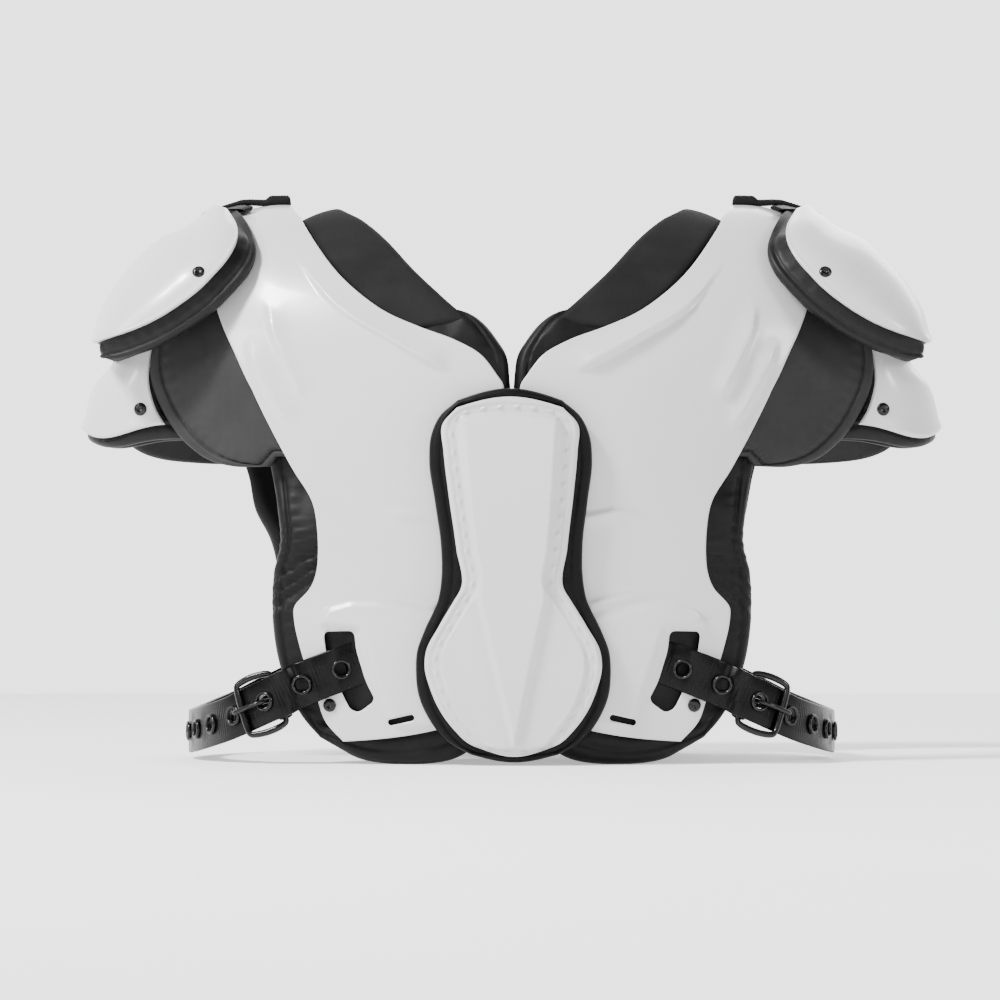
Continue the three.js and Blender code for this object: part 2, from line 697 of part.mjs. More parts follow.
// The belt's own directions at a distance along it: out is level, up is across the belt. Before its
// tucked end it runs straight on.
function beltFrame(distance) {
  const share = Math.min(1, Math.max(0, distance / beltLength));
  const along = beltLine.getTangentAt(share);
  const out = new THREE.Vector3(along.y, -along.x, 0).normalize();
  const up = new THREE.Vector3().crossVectors(out, along).normalize();
  const centre = beltLine.getPointAt(share).addScaledVector(along, Math.min(0, distance));
  return { centre, along, out, up };
}

function beltSpot(distance, height, across) {
  const f = beltFrame(distance);
  return f.centre.addScaledVector(f.out, height).addScaledVector(f.up, across);
}

// A ribbon between two distances, at a height over the belt's middle line.
function ribbon(distances, height, width, thick) {
  return rings(
    distances.map((d) => {
      return [
        beltSpot(d, height + thick / 2, width / 2),
        beltSpot(d, height + thick / 2, -width / 2),
        beltSpot(d, height - thick / 2, -width / 2),
        beltSpot(d, height - thick / 2, width / 2),
      ];
    }),
    false,
  );
}

const eyeletAt = (k) => firstEyelet + k * eyeletPitch;
const eyeletPhase = Math.PI / eyeletSides; // a flat of the eyelet, and of its bore, faces along the belt
const baseBarAt = eyeletAt(prongEyelet) - eyeletFlat;
const outerBarAt = baseBarAt + buckleRun;
const lowerPly = -(beltThick + plyGap);
const baseBarDrop = lowerPly - beltThick / 2 - barGap - buckleWire;
const outerBarRise = beltThick / 2 + plyGap + buckleWire;
// Sections shared by the belt's plies: either side of each eyelet, and where it passes the plates.
const tuckedSteps = [0, 12, 24];
const eyeletSteps = Array.from({ length: eyeletCount }, (_, k) => {
  return [eyeletAt(k) - eyeletFlat, eyeletAt(k) + eyeletFlat];
});
const plateSteps = [...tuckedSteps, ...eyeletSteps[0]];
const sideStart = eyeletAt(eyeletCount - 1) + eyeletFlat;
const sideEnd = beltLength - plateSteps[plateSteps.length - 1];
const sideSpans = 16;
const beltMarks = [
  ...tuckedSteps,
  ...eyeletSteps.flat(),
  ...Array.from({ length: sideSpans - 1 }, (_, k) => lerp(sideStart, sideEnd, (k + 1) / sideSpans)),
  ...plateSteps.map((d) => beltLength - d).reverse(),
];

// Turns a piece made about +Z so that +Z points out of the belt.
function standOnBelt(geometry, distance) {
  const [from, to] = [beltFrame(distance - eyeletFlat), beltFrame(distance + eyeletFlat)];
  const along = to.centre.clone().sub(from.centre).normalize();
  const up = from.up.add(to.up).addScaledVector(along, -from.up.dot(along)).normalize();
  const out = new THREE.Vector3().crossVectors(along, up);
  const middle = from.centre.lerp(to.centre, 0.5);
  const basis = new THREE.Matrix4().makeBasis(along, up, out).setPosition(middle);
  return geometry.applyMatrix4(basis);
}

function belt() {
  const bores = Array.from({ length: eyeletCount }, (_, k) => {
    const bore = eyeletNeck + boreSlack;
    const tool = new THREE.CylinderGeometry(bore, bore, beltThick * 4, eyeletSides, 1, false, eyeletPhase);
    return standOnBelt(tool.rotateX(Math.PI / 2), eyeletAt(k));
  });
  return cut(ribbon(beltMarks, 0, beltWidth, beltThick), ...bores);
}

// The short ply that carries the buckle: it wraps the base bar and is notched for the prong.
function buckleStrap() {
  const wrap = buckleWire + barGap + beltThick / 2;
  const flat = beltMarks.filter((d) => d > buckleStrapStart && d <= baseBarAt).map((d) => {
    return { d, height: lowerPly, turn: 90 };
  });
  const around = [45, 0, -45, -90, -135].map((turn) => {
    const a = THREE.MathUtils.degToRad(turn);
    return { d: baseBarAt + wrap * Math.cos(a), height: baseBarDrop + wrap * Math.sin(a), turn };
  });
  const half = beltThick / 2;
  const list = [...flat, ...around].map((spot) => {
    const a = THREE.MathUtils.degToRad(spot.turn);
    const [ahead, rise] = [Math.cos(a) * half, Math.sin(a) * half];
    return [
      beltSpot(spot.d + ahead, spot.height + rise, beltWidth / 2),
      beltSpot(spot.d + ahead, spot.height + rise, -beltWidth / 2),
      beltSpot(spot.d - ahead, spot.height - rise, -beltWidth / 2),
      beltSpot(spot.d - ahead, spot.height - rise, beltWidth / 2),
    ];
  });
  const notch = new THREE.BoxGeometry(notchRun, 2 * (prongWire + notchSlack), 4 * (wrap + beltThick));
  return cut(rings(list, false), standOnBelt(notch.translate(notchRun / 2 - notchBack, 0, 0), baseBarAt));
}

function buckleFrame() {
  const out = beltWidth / 2 + buckleSide;
  const soft = 3.6; // how far the corners are rounded
  const corner = (d, rise, side) => [
    { d, rise, w: side * (out - soft) },
    { d: lerp(d, (baseBarAt + outerBarAt) / 2, 0.12), rise, w: side * (out - 1) },
  ];
  const outline = [
    ...corner(baseBarAt, baseBarDrop, 1),
    { d: (baseBarAt + outerBarAt) / 2, rise: (baseBarDrop + outerBarRise) / 2, w: out + 1 },
    ...corner(outerBarAt, outerBarRise, 1).reverse(),
    ...corner(outerBarAt, outerBarRise, -1),
    { d: (baseBarAt + outerBarAt) / 2, rise: (baseBarDrop + outerBarRise) / 2, w: -out - 1 },
    ...corner(baseBarAt, baseBarDrop, -1).reverse(),
  ];
  const facing = beltFrame((baseBarAt + outerBarAt) / 2).out;
  return wire(outline.map((p) => beltSpot(p.d, p.rise, p.w)), buckleWire, 6, true, facing);
}

function buckleProng() {
  const over = outerBarRise + buckleWire + plyGap + prongWire;
  const middle = eyeletAt(prongEyelet);
  const path = [
    [baseBarAt + buckleWire + plyGap + prongWire, baseBarDrop],
    [middle - 3.4, -3],
    [middle - 0.5, 1],
    [middle + 2, 4.8],
    [middle + 7, over - 0.6],
    [outerBarAt, over],
    [outerBarAt + 5, over - 0.4],
  ];
  const facing = beltFrame(middle).up;
  return wire(path.map(([d, rise]) => beltSpot(d, rise, 0)), prongWire, 6, false, facing);
}

function eyelet(k) {
  const low = -beltThick / 2;
  const seat = beltThick / 2 + eyeletSeat;
  const profile = [
    [eyeletBore, low],
    [eyeletNeck, low],
    [eyeletNeck, seat],
    [eyeletFlange, seat],
    [eyeletFlange - eyeletBevel, seat + eyeletRise],
    [eyeletBore + eyeletFlare, seat + eyeletRise],
    [eyeletBore, low],
  ];
  const points = profile.map(([r, h]) => new THREE.Vector2(r, h));
  const ring = new THREE.LatheGeometry(points, eyeletSides, eyeletPhase);
  return standOnBelt(ring.rotateX(Math.PI / 2), eyeletAt(k));
}

// The room that a belt's tucked end takes out of the liner.
function beltPocket(face) {
  const marks = [-pocketRun, ...beltMarks.filter((d) => d < buckleStrapStart)];
  const pocket = ribbon(marks, 0, beltWidth + 2 * pocketSlack, beltThick + 2 * pocketSlack);
  return face === BACK ? mirrored(pocket, [1, -1, 1]) : pocket;
}

// Webbing over the crown

function crownWebbing() {
  const path = webbingRows.map((row) => ({ ...row, low: row.z * standHeight }));
  const half = webbingWidth / 2;
  const ring = ({ s, low, plies }) => {
    const x = s * bodyReach;
    const top = low + plies * webbingThick;
    return [
      new THREE.Vector3(x, -half, top - webbingBend),
      new THREE.Vector3(x, 0, top),
      new THREE.Vector3(x, half, top - webbingBend),
      new THREE.Vector3(x, half, low - webbingBend),
      new THREE.Vector3(x, 0, low),
      new THREE.Vector3(x, -half, low - webbingBend),
    ];
  };
  return rings(path.map(ring), false);
}

// Rivets

// A domed rivet head about +Z, moved to a spot and turned to its normal.
function rivet(spot, normal) {
  const profile = [
    [0, 0],
    [rivetRadius, 0],
    [rivetRadius * 0.8, rivetRise * 0.7],
    [0, rivetRise],
  ];
  const head = new THREE.LatheGeometry(profile.map(([r, h]) => new THREE.Vector2(r, h)), 7);
  head.rotateX(Math.PI / 2);
  const turn = new THREE.Quaternion().setFromUnitVectors(new THREE.Vector3(0, 0, 1), normal);
  return head.applyQuaternion(turn).translate(spot.x, spot.y, spot.z);
}

// A rivet on a row of a cap or cup, seated on the straight stretch between two of its columns.
function domeRivet(list, j, degrees) {
  const turn = THREE.MathUtils.degToRad(degrees);
  const turns = shellColumns.map((u) => THREE.MathUtils.degToRad(lerp(-shellTurn, shellTurn, u)));
  const before = Math.max(...turns.filter((at) => at <= turn));
  const after = Math.min(...turns.filter((at) => at > turn));
  const seat = domeAt(list[j], before).lerp(domeAt(list[j], after), (turn - before) / (after - before));
  const normal = domeNormal(list, j, turn);
  return rivet(seat.addScaledVector(normal, rivetGap), normal);
}

function archRivet() {
  const [s, z] = [plateRivet.s * bodyReach, plateRivet.z * standHeight];
  const low = bodyPoint(s, turnAt(s, z), FRONT, plateWall + rivetGap);
  const normal = bodyPoint(s, turnAt(s, z), FRONT, plateWall + 1).sub(low).normalize();
  return rivet(low, normal);
}

// Assembly

function mirrored(geometry, [x, y, z]) {
  const copy = geometry.clone().scale(x, y, z);
  if (copy.index) copy.setIndex([...copy.index.array].reverse());
  return copy;
}

const finishes = {
  plate: new THREE.MeshStandardMaterial({ color: 0xdcdcdc, roughness: 0.3, metalness: 0 }),
  fabric: new THREE.MeshStandardMaterial({ color: 0x1c1b1c, roughness: 0.75, metalness: 0 }),
  knit: new THREE.MeshStandardMaterial({ color: 0x161616, roughness: 0.95, metalness: 0 }),
  belt: new THREE.MeshStandardMaterial({ color: 0x0c0c0d, roughness: 0.35, metalness: 0 }),
  metal: new THREE.MeshStandardMaterial({ color: 0x161617, roughness: 0.3, metalness: 0.8 }),
};

const model = new THREE.Group();

function add(name, geometry, finish) {
  const mesh = new THREE.Mesh(geometry, finishes[finish]);
  mesh.name = name;
  model.add(mesh);
}

// Each piece of one side is made at +X and mirrored for the other.
const sidePieces = [
  ["arch_plate", archPlate(), "plate"],
  ["neck_collar", collar(), "knit"],
  ["front_flap", flap(FRONT), "fabric"],
  ["back_flap", flap(BACK), "fabric"],
  ["shoulder_cap", shell(capRows), "plate"],
  ["cap_pad", capPad(), "fabric"],
  ["arm_cup", shell(cupRows), "plate"],
  ["cup_pad", cupPad(), "fabric"],
  ["side_belt", belt(), "belt"],
  ["buckle_strap", buckleStrap(), "belt"],
  ["buckle_frame", buckleFrame(), "metal"],
  ["buckle_prong", buckleProng(), "metal"],
  ["crown_webbing", crownWebbing(), "fabric"],
  ["cap_rivet_front", domeRivet(capRows, 3, -80), "metal"],
  ["cap_rivet_top", domeRivet(capRows, 1, 12), "metal"],
  ["cup_rivet", domeRivet(cupRows, 3, -78), "metal"],
  ["plate_rivet", archRivet(), "metal"],
  ...Array.from({ length: eyeletCount }, (_, k) => [`eyelet_${k + 1}`, eyelet(k), "metal"]),
];
for (const [name, geometry, finish] of sidePieces) {
  add(`${name}_left`, geometry, finish);
  add(`${name}_right`, mirrored(geometry, [-1, 1, 1]), finish);
}

add("body_liner_left", liner(linerSpread.left), "fabric");
add("body_liner_right", mirrored(liner(linerSpread.right), [-1, 1, 1]), "fabric");
add("sternum_pad", chestPad(sternumPadRows, FRONT, sternumLean), "fabric");
add("sternum_plate", chestPlate(sternumPlateRows, FRONT, 0, sternumLean), "plate");
add("back_pad", chestPad(backPadRows, BACK, 0), "fabric");
add("back_plate", chestPlate(backPadRows, BACK, backPlateInset, 0), "plate");

export default model;
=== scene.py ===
"""Football shoulder pads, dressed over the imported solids: moulded plates with their relief, stitched and
quilted pads, ribbed belts and black fittings. Metres, +Z up, the wearer faces -Y."""

import math
from contextlib import contextmanager

import bmesh
import bpy
import numpy as np
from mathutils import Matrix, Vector


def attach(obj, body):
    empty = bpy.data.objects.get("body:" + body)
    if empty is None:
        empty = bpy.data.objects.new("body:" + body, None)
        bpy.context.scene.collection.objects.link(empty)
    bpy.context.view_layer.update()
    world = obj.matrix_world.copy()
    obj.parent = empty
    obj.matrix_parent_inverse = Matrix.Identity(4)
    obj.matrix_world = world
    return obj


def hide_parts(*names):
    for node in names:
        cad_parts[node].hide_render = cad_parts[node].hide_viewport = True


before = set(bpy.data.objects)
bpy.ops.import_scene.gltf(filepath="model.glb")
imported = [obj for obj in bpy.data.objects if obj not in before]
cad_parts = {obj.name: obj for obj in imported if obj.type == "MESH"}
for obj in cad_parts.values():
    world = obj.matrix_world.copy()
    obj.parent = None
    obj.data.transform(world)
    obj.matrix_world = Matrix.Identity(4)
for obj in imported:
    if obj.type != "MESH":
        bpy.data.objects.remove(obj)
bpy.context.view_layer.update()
MM = 0.001
FRONT = -1
BACK = 1

# The body surface that every sheet hugs, in millimetres.
STAND_HEIGHT = 400
BODY_REACH = 200
CROWN_HEIGHT = 395
CROWN_TURN = 165
CROWN_DROP = 17
ARCH_REACH = 213
SHOULDER_ROLL = 130
CHEST_DEPTH = 145
SIDE_DEPTH = 95
DEPTH_POWER = 2.2
BELLY_TUCK = 6

PLATE_WALL = 3
LINER_THICK = 18
COLLAR_THICK = 16
FLAP_THICK = 8
STERNUM_THICK = 12
CAP_PAD_THICK = 9
CUP_PAD_THICK = 8
SEAT_GAP = 1
LAY_GAP = 0.45
CAP_GAP = 2.3
CUP_GAP = 1.5


def named(names, rows):
    """Rows of thousandths as dictionaries under the same names; what a short row leaves out is 0."""
    keys = names.split()
    return [dict.fromkeys(keys, 0) | {key: n and n / 1000 for key, n in zip(keys, row)} for row in rows]


ARCH_ROWS = named("in_s in_z out_s out_z bow", (
    (75, 88, 590, 40, 10), (75, 160, 650, 73, 4), (75, 240, 685, 120), (75, 310, 730, 184),
    (75, 375, 763, 255), (75, 420, 760, 278), (75, 460, 705, 310), (70, 490, 685, 336),
    (62, 535, 685, 430), (55, 570, 700, 462), (43, 615, 770, 520), (30, 665, 860, 604),
    (53, 683, 900, 645), (110, 718, 938, 683), (200, 743, 970, 718), (320, 765, 1005, 755),
    (445, 793, 1033, 790), (565, 838, 1050, 825), (640, 878, 1060, 860), (720, 935, 1065, 895),
    (765, 972, 1065, 925), (785, 984, 1065, 941),
))
LINER_ROWS = named("in_s in_z out_s out_z bow sink", (
    (60, 50, 685, 45, 60), (40, 100, 750, 80, 35), (30, 180, 830, 165, 12), (20, 260, 860, 250),
    (12, 340, 858, 330), (10, 400, 832, 390), (7.5, 460, 845, 445, 0, 300),
    (7.5, 520, 870, 500, 0, 1000), (7.5, 600, 905, 580, 0, 1000), (7.5, 670, 940, 655, 0, 1000),
    (50, 720, 960, 725, 0, 1000), (330, 738, 970, 765, 0, 1000), (450, 765, 975, 800, 0, 1000),
    (560, 806, 980, 830, 0, 1000), (630, 846, 980, 860, 0, 1000), (700, 893, 980, 890, 0, 1000),
    (770, 944, 980, 915, 0, 1000), (800, 972, 980, 936, 0, 1000),
))
COLLAR_ROWS = named("in_s in_z out_s out_z bow", (
    (78, 738, 310, 746), (150, 783, 370, 760), (240, 826, 470, 790), (345, 878, 570, 836),
    (440, 932, 650, 884), (520, 967, 740, 947), (575, 982, 780, 979),
))
FLAP_ROWS = named("in_s in_z out_s out_z out_y back_s back_z", (
    (1000, 860, 1240, 780, 655, 1300, 780), (980, 805, 1280, 730, 660, 1370, 725),
    (945, 750, 1283, 680, 660, 1400, 660), (905, 695, 1240, 622, 692, 1410, 600),
    (860, 645, 1150, 562, 820, 1370, 555), (830, 610, 1070, 534, 920, 1270, 537),
    (790, 575, 985, 523, 1020, 1120, 530), (745, 540, 850, 523, 1120, 920, 530),
))
DOME_KEYS = "ridge_s ridge_z edge_s edge_z span dip"
CAP_ROWS = named(DOME_KEYS, (
    (1065, 995, 1025, 988, 316), (1110, 978, 975, 950, 779), (1180, 953, 985, 905, 1053),
    (1265, 933, 1070, 850, 1179), (1350, 895, 1170, 808, 1200), (1420, 853, 1270, 778, 1179),
    (1475, 805, 1375, 757, 1116), (1503, 746, 1475, 743, 968),
))
CUP_ROWS = named(DOME_KEYS, (
    (1410, 748, 1270, 742, 589), (1440, 706, 1288, 706, 632), (1500, 670, 1290, 670, 653),
    (1530, 625, 1265, 625, 674), (1545, 590, 1232, 598, 695, 18),
))
STERNUM_PLATE_ROWS = named("z half bow", (
    (625, 180, 19), (595, 230, 10), (550, 227), (480, 213), (380, 188), (310, 175), (288, 200),
    (245, 250), (200, 295), (175, 300), (135, 282), (100, 253), (65, 205), (40, 153, -10),
    (30, 105, -12.5),
))
STERNUM_PAD_ROWS = named("z half bow", (
    (638, 180, 21), (608, 245, 12.5), (575, 273, 5), (535, 280), (460, 262), (388, 244), (330, 243),
    (295, 253), (235, 305), (200, 330), (165, 335), (120, 325), (80, 290), (45, 235, -8), (20, 150, -14),
))
BACK_PAD_ROWS = named("z half bow", (
    (600, 160, 10), (580, 210, 4), (520, 235), (400, 200), (260, 235), (170, 210, -4), (150, 160, -10),
))


# The body surface


def crown_at(s):
    past = np.maximum(0, np.abs(s) - CROWN_TURN) / (ARCH_REACH - CROWN_TURN)
    return CROWN_HEIGHT - CROWN_DROP * past**2


def turn_at(s, z):
    """How far round the body a height is: 0 at the crown, 1 where the chest starts, 2 at the floor."""
    foot = crown_at(s) - SHOULDER_ROLL
    roll = np.arccos(np.clip((z - foot) / SHOULDER_ROLL, -1, 1)) / (math.pi / 2)
    return np.where(z <= foot, 2 - z / foot, roll)


def on_body(s, q):
    """Body points at distances s from the centre plane and turns q, which are negative behind."""
    turn = np.abs(q)
    foot = crown_at(s) - SHOULDER_ROLL
    depth = CHEST_DEPTH - (CHEST_DEPTH - SIDE_DEPTH) * (np.abs(s) / ARCH_REACH) ** DEPTH_POWER
    angle = np.minimum(turn, 1) * math.pi / 2
    below = np.maximum(turn - 1, 0)
    y = np.where(q >= 0, FRONT, BACK) * (depth * np.sin(angle) - BELLY_TUCK * below**2)
    z = np.where(turn > 1, foot * (2 - turn), foot + SHOULDER_ROLL * np.cos(angle))
    return np.stack([s + 0 * q, y, z], -1)


def unit(v):
    return v / np.maximum(np.linalg.norm(v, axis=-1, keepdims=True), 1e-9)


def body_point(s, q, lift):
    across = on_body(s + 0.5, q) - on_body(s - 0.5, q)
    along = on_body(s, q + 0.004) - on_body(s, q - 0.004)
    return on_body(s, q) + unit(np.cross(along, across)) * np.asarray(lift)[..., None]


# Curves and grids


def smooth_step(low, high, x):
    t = np.clip((x - low) / (high - low), 0, 1)
    return t * t * (3 - 2 * t)


def through(points, marks, at):
    """A smooth curve through rows of numbers that stand at marks, read at other marks."""
    points = np.asarray(points, float)
    gaps = np.diff(marks)[:, None]
    slopes = np.diff(points, axis=0) / gaps
    middle = (slopes[:-1] * gaps[1:] + slopes[1:] * gaps[:-1]) / (gaps[1:] + gaps[:-1])
    tangents = np.vstack([slopes[:1], middle, slopes[-1:]])
    k = np.clip(np.searchsorted(marks, at, side="right") - 1, 0, len(marks) - 2)
    h = np.diff(marks)[k]
    t = ((at - np.asarray(marks)[k]) / h)[:, None]
    h = h[:, None]
    return (
        (2 * t**3 - 3 * t**2 + 1) * points[k]
        + (t**3 - 2 * t**2 + t) * h * tangents[k]
        + (3 * t**2 - 2 * t**3) * points[k + 1]
        + (t**3 - t**2) * h * tangents[k + 1]
    )


def marks_of(points):
    steps = np.linalg.norm(np.diff(np.asarray(points, float), axis=0), axis=-1)
    return np.concatenate([[0], np.cumsum(np.maximum(steps, 1))])


def spaced(length, step, edge):
    """Distances along a length: close together at both ends, then even."""
    edge = [d for d in edge if d < length * 0.45]
    inner = np.linspace(edge[-1], length - edge[-1], max(3, int((length - 2 * edge[-1]) / step) + 1))
    return np.concatenate([edge[:-1], inner, [length - d for d in reversed(edge[:-1])]])


def shares(across, wide, edge):
    """Shares across each row: true distances near both edges, whatever its width, and even between."""
    near = np.minimum(across, across[-1] - across)
    share = across / across[-1]
    u = np.where(share < 0.5, near / wide, 1 - near / wide)
    inner = near >= edge[-1]
    span = (share[inner] - share[inner][0]) / (share[inner][-1] - share[inner][0])
    low = edge[-1] / wide
    u[:, inner] = low + (1 - 2 * low) * span
    return np.clip(u, 0, 1)


def edges(at, across, sides):
    """Distance from the nearest edge over a grid, and how far along that edge."""
    ends = np.minimum(at - at[0], at[-1] - at)[:, None]
    return np.minimum(ends, sides), np.where(ends < sides, across, at[:, None])


PLATE_EDGE = [0, 0.25, 0.9, 1.7, 2.6, 4.5]
PAD_EDGE = [0, 0.5, 1.6, 3.2, 5, 6.6, 7.8, 8.6, 9.4, 10.4, 12, 15]
SHEET_STEP = 2.6
RIM_SHARE = 0.15


def roll(distance, radius):
    """Half thickness near an edge, as a share: a quarter circle."""
    t = np.clip(distance / radius, 0, 1)
    return np.sqrt(np.maximum(1 - (1 - t) ** 2, 0))


def pad_half(thick, edge):
    return thick / 2 * roll(edge, np.max(thick) / 2)


def plate_half(edge):
    return PLATE_WALL / 2 * (RIM_SHARE + (1 - RIM_SHARE) * roll(edge, PLATE_WALL / 2))


def hump(x, middle, width):
    return np.exp(-(((x - middle) / width) ** 2))


def closed_sheet(outer, inner):
    """A mesh between two grids that meet along their rims."""
    rows, columns = outer.shape[:2]
    way = np.cross(outer[0, 1] - outer[0, 0], outer[1, 0] - outer[0, 0])
    if way @ (outer[1, 1] - inner[1, 1]) < 0:
        outer, inner = outer[:, ::-1], inner[:, ::-1]
    grid = np.arange(rows * columns).reshape(rows, columns)
    a, b, c, d = grid[:-1, :-1], grid[:-1, 1:], grid[1:, 1:], grid[1:, :-1]
    top = np.stack([a, b, c, d], -1).reshape(-1, 4)
    under = top[:, ::-1] + rows * columns
    rim = np.zeros((rows, columns), bool)
    rim[[0, -1], :] = True
    rim[:, [0, -1]] = True
    inner = np.where(rim[..., None], outer, inner)
    points = np.concatenate([outer.reshape(-1, 3), inner.reshape(-1, 3)])
    return mesh_piece(points, np.vstack([top, under]).tolist(), weld=True)


@contextmanager
def reshaped(mesh):
    """A mesh opened for editing, then written back."""
    shape = bmesh.new()
    shape.from_mesh(mesh)
    yield shape
    shape.to_mesh(mesh)
    shape.free()


def placed(name, data):
    thing = bpy.data.objects.new(name, data)
    bpy.context.scene.collection.objects.link(thing)
    return thing


def mesh_piece(points, faces, weld=False):
    mesh = bpy.data.meshes.new("piece")
    mesh.from_pydata((np.asarray(points) * MM).tolist(), [], faces)
    if weld:
        with reshaped(mesh) as shape:
            bmesh.ops.remove_doubles(shape, verts=shape.verts, dist=2e-6)
            bmesh.ops.dissolve_degenerate(shape, edges=shape.edges, dist=1e-6)
    mesh.shade_smooth()
    return placed("piece", mesh)


# Sheets that hug the body

ARCH_CROWN = dict(in_s=0.8, out_s=1.065)
LINER_CROWN = dict(in_s=0.81, out_s=0.98, sink=1)
COLLAR_CROWN = dict(in_s=0.595, out_s=0.79)
LINER_SPREAD = {1: 8, -1: 24}
COLLAR_SAG = 15
FLAP_HOLD = 18
FLAP_HOLD_COLUMN = 0.35


def stations(rows, crown, spread=0):
    """Rows up the front, over the crown and down the back: both ends' distance and turn, bow and sink."""

    def station(row, sign):
        bulge = spread * smooth_step(0.3, 0.48, row["in_z"]) * (1 - smooth_step(0.6, 0.72, row["in_z"]))
        in_s = row["in_s"] * BODY_REACH
        out_s = row["out_s"] * BODY_REACH + (bulge if sign < 0 else 0)
        in_q = sign * turn_at(in_s, row["in_z"] * STAND_HEIGHT)
        out_q = sign * turn_at(out_s, row["out_z"] * STAND_HEIGHT)
        bow = sign * row["bow"] * STAND_HEIGHT / (CROWN_HEIGHT - SHOULDER_ROLL)
        return [in_s, float(in_q), out_s, float(out_q), bow, row.get("sink", 0)]

    top = [crown["in_s"] * BODY_REACH, 0, crown["out_s"] * BODY_REACH, 0, 0, crown.get("sink", 0)]
    return [station(r, 1) for r in rows] + [top] + [station(r, -1) for r in reversed(rows)]


class Sheet:
    """Fine grid of a body sheet: distances, turns, sink and the distance from the nearest edge."""

    def __init__(self, rows, crown, step, edge, spread=0, trim=0):
        table = np.array(stations(rows, crown, spread))
        middle = on_body((table[:, 0] + table[:, 2]) / 2, (table[:, 1] + table[:, 3]) / 2)
        marks = marks_of(middle)
        at = trim + spaced(marks[-1] - 2 * trim, step, edge)
        fine = through(table, marks, at)
        ends = on_body(fine[:, 0], fine[:, 1]) - on_body(fine[:, 2], fine[:, 3])
        wide = np.linalg.norm(ends, axis=-1)[:, None]
        self.u = u = shares(spaced(wide.max(), step, edge), wide, edge)
        self.s = fine[:, :1] + (fine[:, 2:3] - fine[:, :1]) * u
        self.q = fine[:, 1:2] + (fine[:, 3:4] - fine[:, 1:2]) * u + fine[:, 4:5] * np.sin(np.pi * u)
        self.sink = np.clip(fine[:, 5:6], 0, 1) + 0 * u
        self.along = at[:, None] + 0 * u
        self.edge, _ = edges(at, u, np.minimum(u, 1 - u) * wide)

    def points(self, lift):
        return body_point(self.s, self.q, lift)


def mirrored(piece):
    mesh = piece.data.copy()
    with reshaped(mesh) as shape:
        bmesh.ops.scale(shape, vec=(-1, 1, 1), verts=shape.verts)
        bmesh.ops.reverse_faces(shape, faces=shape.faces)
    return placed("piece", mesh)


# Relief on the arch plates. Lines run in millimetres from the centre line and the floor as seen from the
# front. A ridge stands proud by its height and falls off over left and right, either side of its line.

RELIEF = [
    dict(line=[(156, 361), (120, 318), (85, 297), (42, 274)], height=6, left=3, right=18, fade=0.6),
    dict(line=[(171, 326), (168, 306), (158, 283), (146, 256)], height=3.6, left=3.5, right=14, fade=0.3),
    dict(line=[(187, 301), (182, 287), (170, 262), (154, 236)], height=3.4, left=3.5, right=13, fade=0.3),
    dict(line=[(97, 176), (70, 177), (44, 172)], height=3.4, left=11, right=2.6, fade=0.5),
    dict(line=[(104, 123), (80, 119), (48, 111)], height=3.0, left=11, right=2.6, fade=0.5),
]
POCKET = [(132, 100), (127, 106), (112, 110.5), (92, 110), (70, 104.5), (46, 101), (22, 98), (22, 20),
          (80, 30), (88, 50), (101, 88), (104, 98)]
POCKET_RISE = 3.6
RELIEF_FADE = 5
FRONT_TURN = 0.35
RIDGE_POWER = 1.6


def side_of_line(x, z, line):
    """Signed distance from a line, and how far along it, as a share."""
    best = np.full(x.shape, 1e9)
    signed = np.zeros(x.shape)
    share = np.zeros(x.shape)
    line = np.asarray(through(line, marks_of(line), np.linspace(0, marks_of(line)[-1], 24)), float)
    marks = marks_of(line)
    for k in range(len(line) - 1):
        a, d = line[k], line[k + 1] - line[k]
        t = np.clip(((x - a[0]) * d[0] + (z - a[1]) * d[1]) / (d @ d), 0, 1)
        gap = np.hypot(x - a[0] - t * d[0], z - a[1] - t * d[1])
        closer = gap < best
        side = np.sign(d[0] * (z - a[1]) - d[1] * (x - a[0]))
        best = np.where(closer, gap, best)
        signed = np.where(closer, gap * side, signed)
        share = np.where(closer, (marks[k] + t * (marks[k + 1] - marks[k])) / marks[-1], share)
    return signed, share


def ridge(x, z, line, height, left, right, fade):
    signed, share = side_of_line(x, z, line)
    reach = np.where(signed > 0, left, right)
    body = np.clip(1 - np.abs(signed) / reach, 0, 1)
    ends = smooth_step(0, fade, share) * smooth_step(0, 0.12, 1 - share)
    return height * body**RIDGE_POWER * ends


def inside(x, z, outline, soft):
    """1 inside an outline, falling to 0 over a soft band outside it."""
    outline = np.asarray(outline, float)
    gap = np.full(x.shape, 1e9)
    odd = np.zeros(x.shape, bool)
    for a, b in zip(outline, np.roll(outline, -1, axis=0)):
        d = b - a
        t = np.clip(((x - a[0]) * d[0] + (z - a[1]) * d[1]) / (d @ d), 0, 1)
        gap = np.minimum(gap, np.hypot(x - a[0] - t * d[0], z - a[1] - t * d[1]))
        crosses = (a[1] > z) != (b[1] > z)
        odd ^= crosses & (x < a[0] + (z - a[1]) * d[0] / (d[1] if d[1] else 1e-9))
    return np.where(odd, 1.0, 1 - smooth_step(0, soft, gap))


def plate_relief(x, z):
    return POCKET_RISE * inside(x, z, POCKET, RELIEF_FADE) + sum(ridge(x, z, **mark) for mark in RELIEF)


def arch_plate():
    sheet = Sheet(ARCH_ROWS, ARCH_CROWN, SHEET_STEP, PLATE_EDGE)
    skin = sheet.points(np.zeros(sheet.s.shape))
    relief = np.where(sheet.q > FRONT_TURN, plate_relief(skin[..., 0], skin[..., 2]), 0)
    middle = relief * smooth_step(0, RELIEF_FADE, sheet.edge) + PLATE_WALL / 2
    half = plate_half(sheet.edge)
    return closed_sheet(sheet.points(middle + half), sheet.points(middle - half))


# Padded pieces

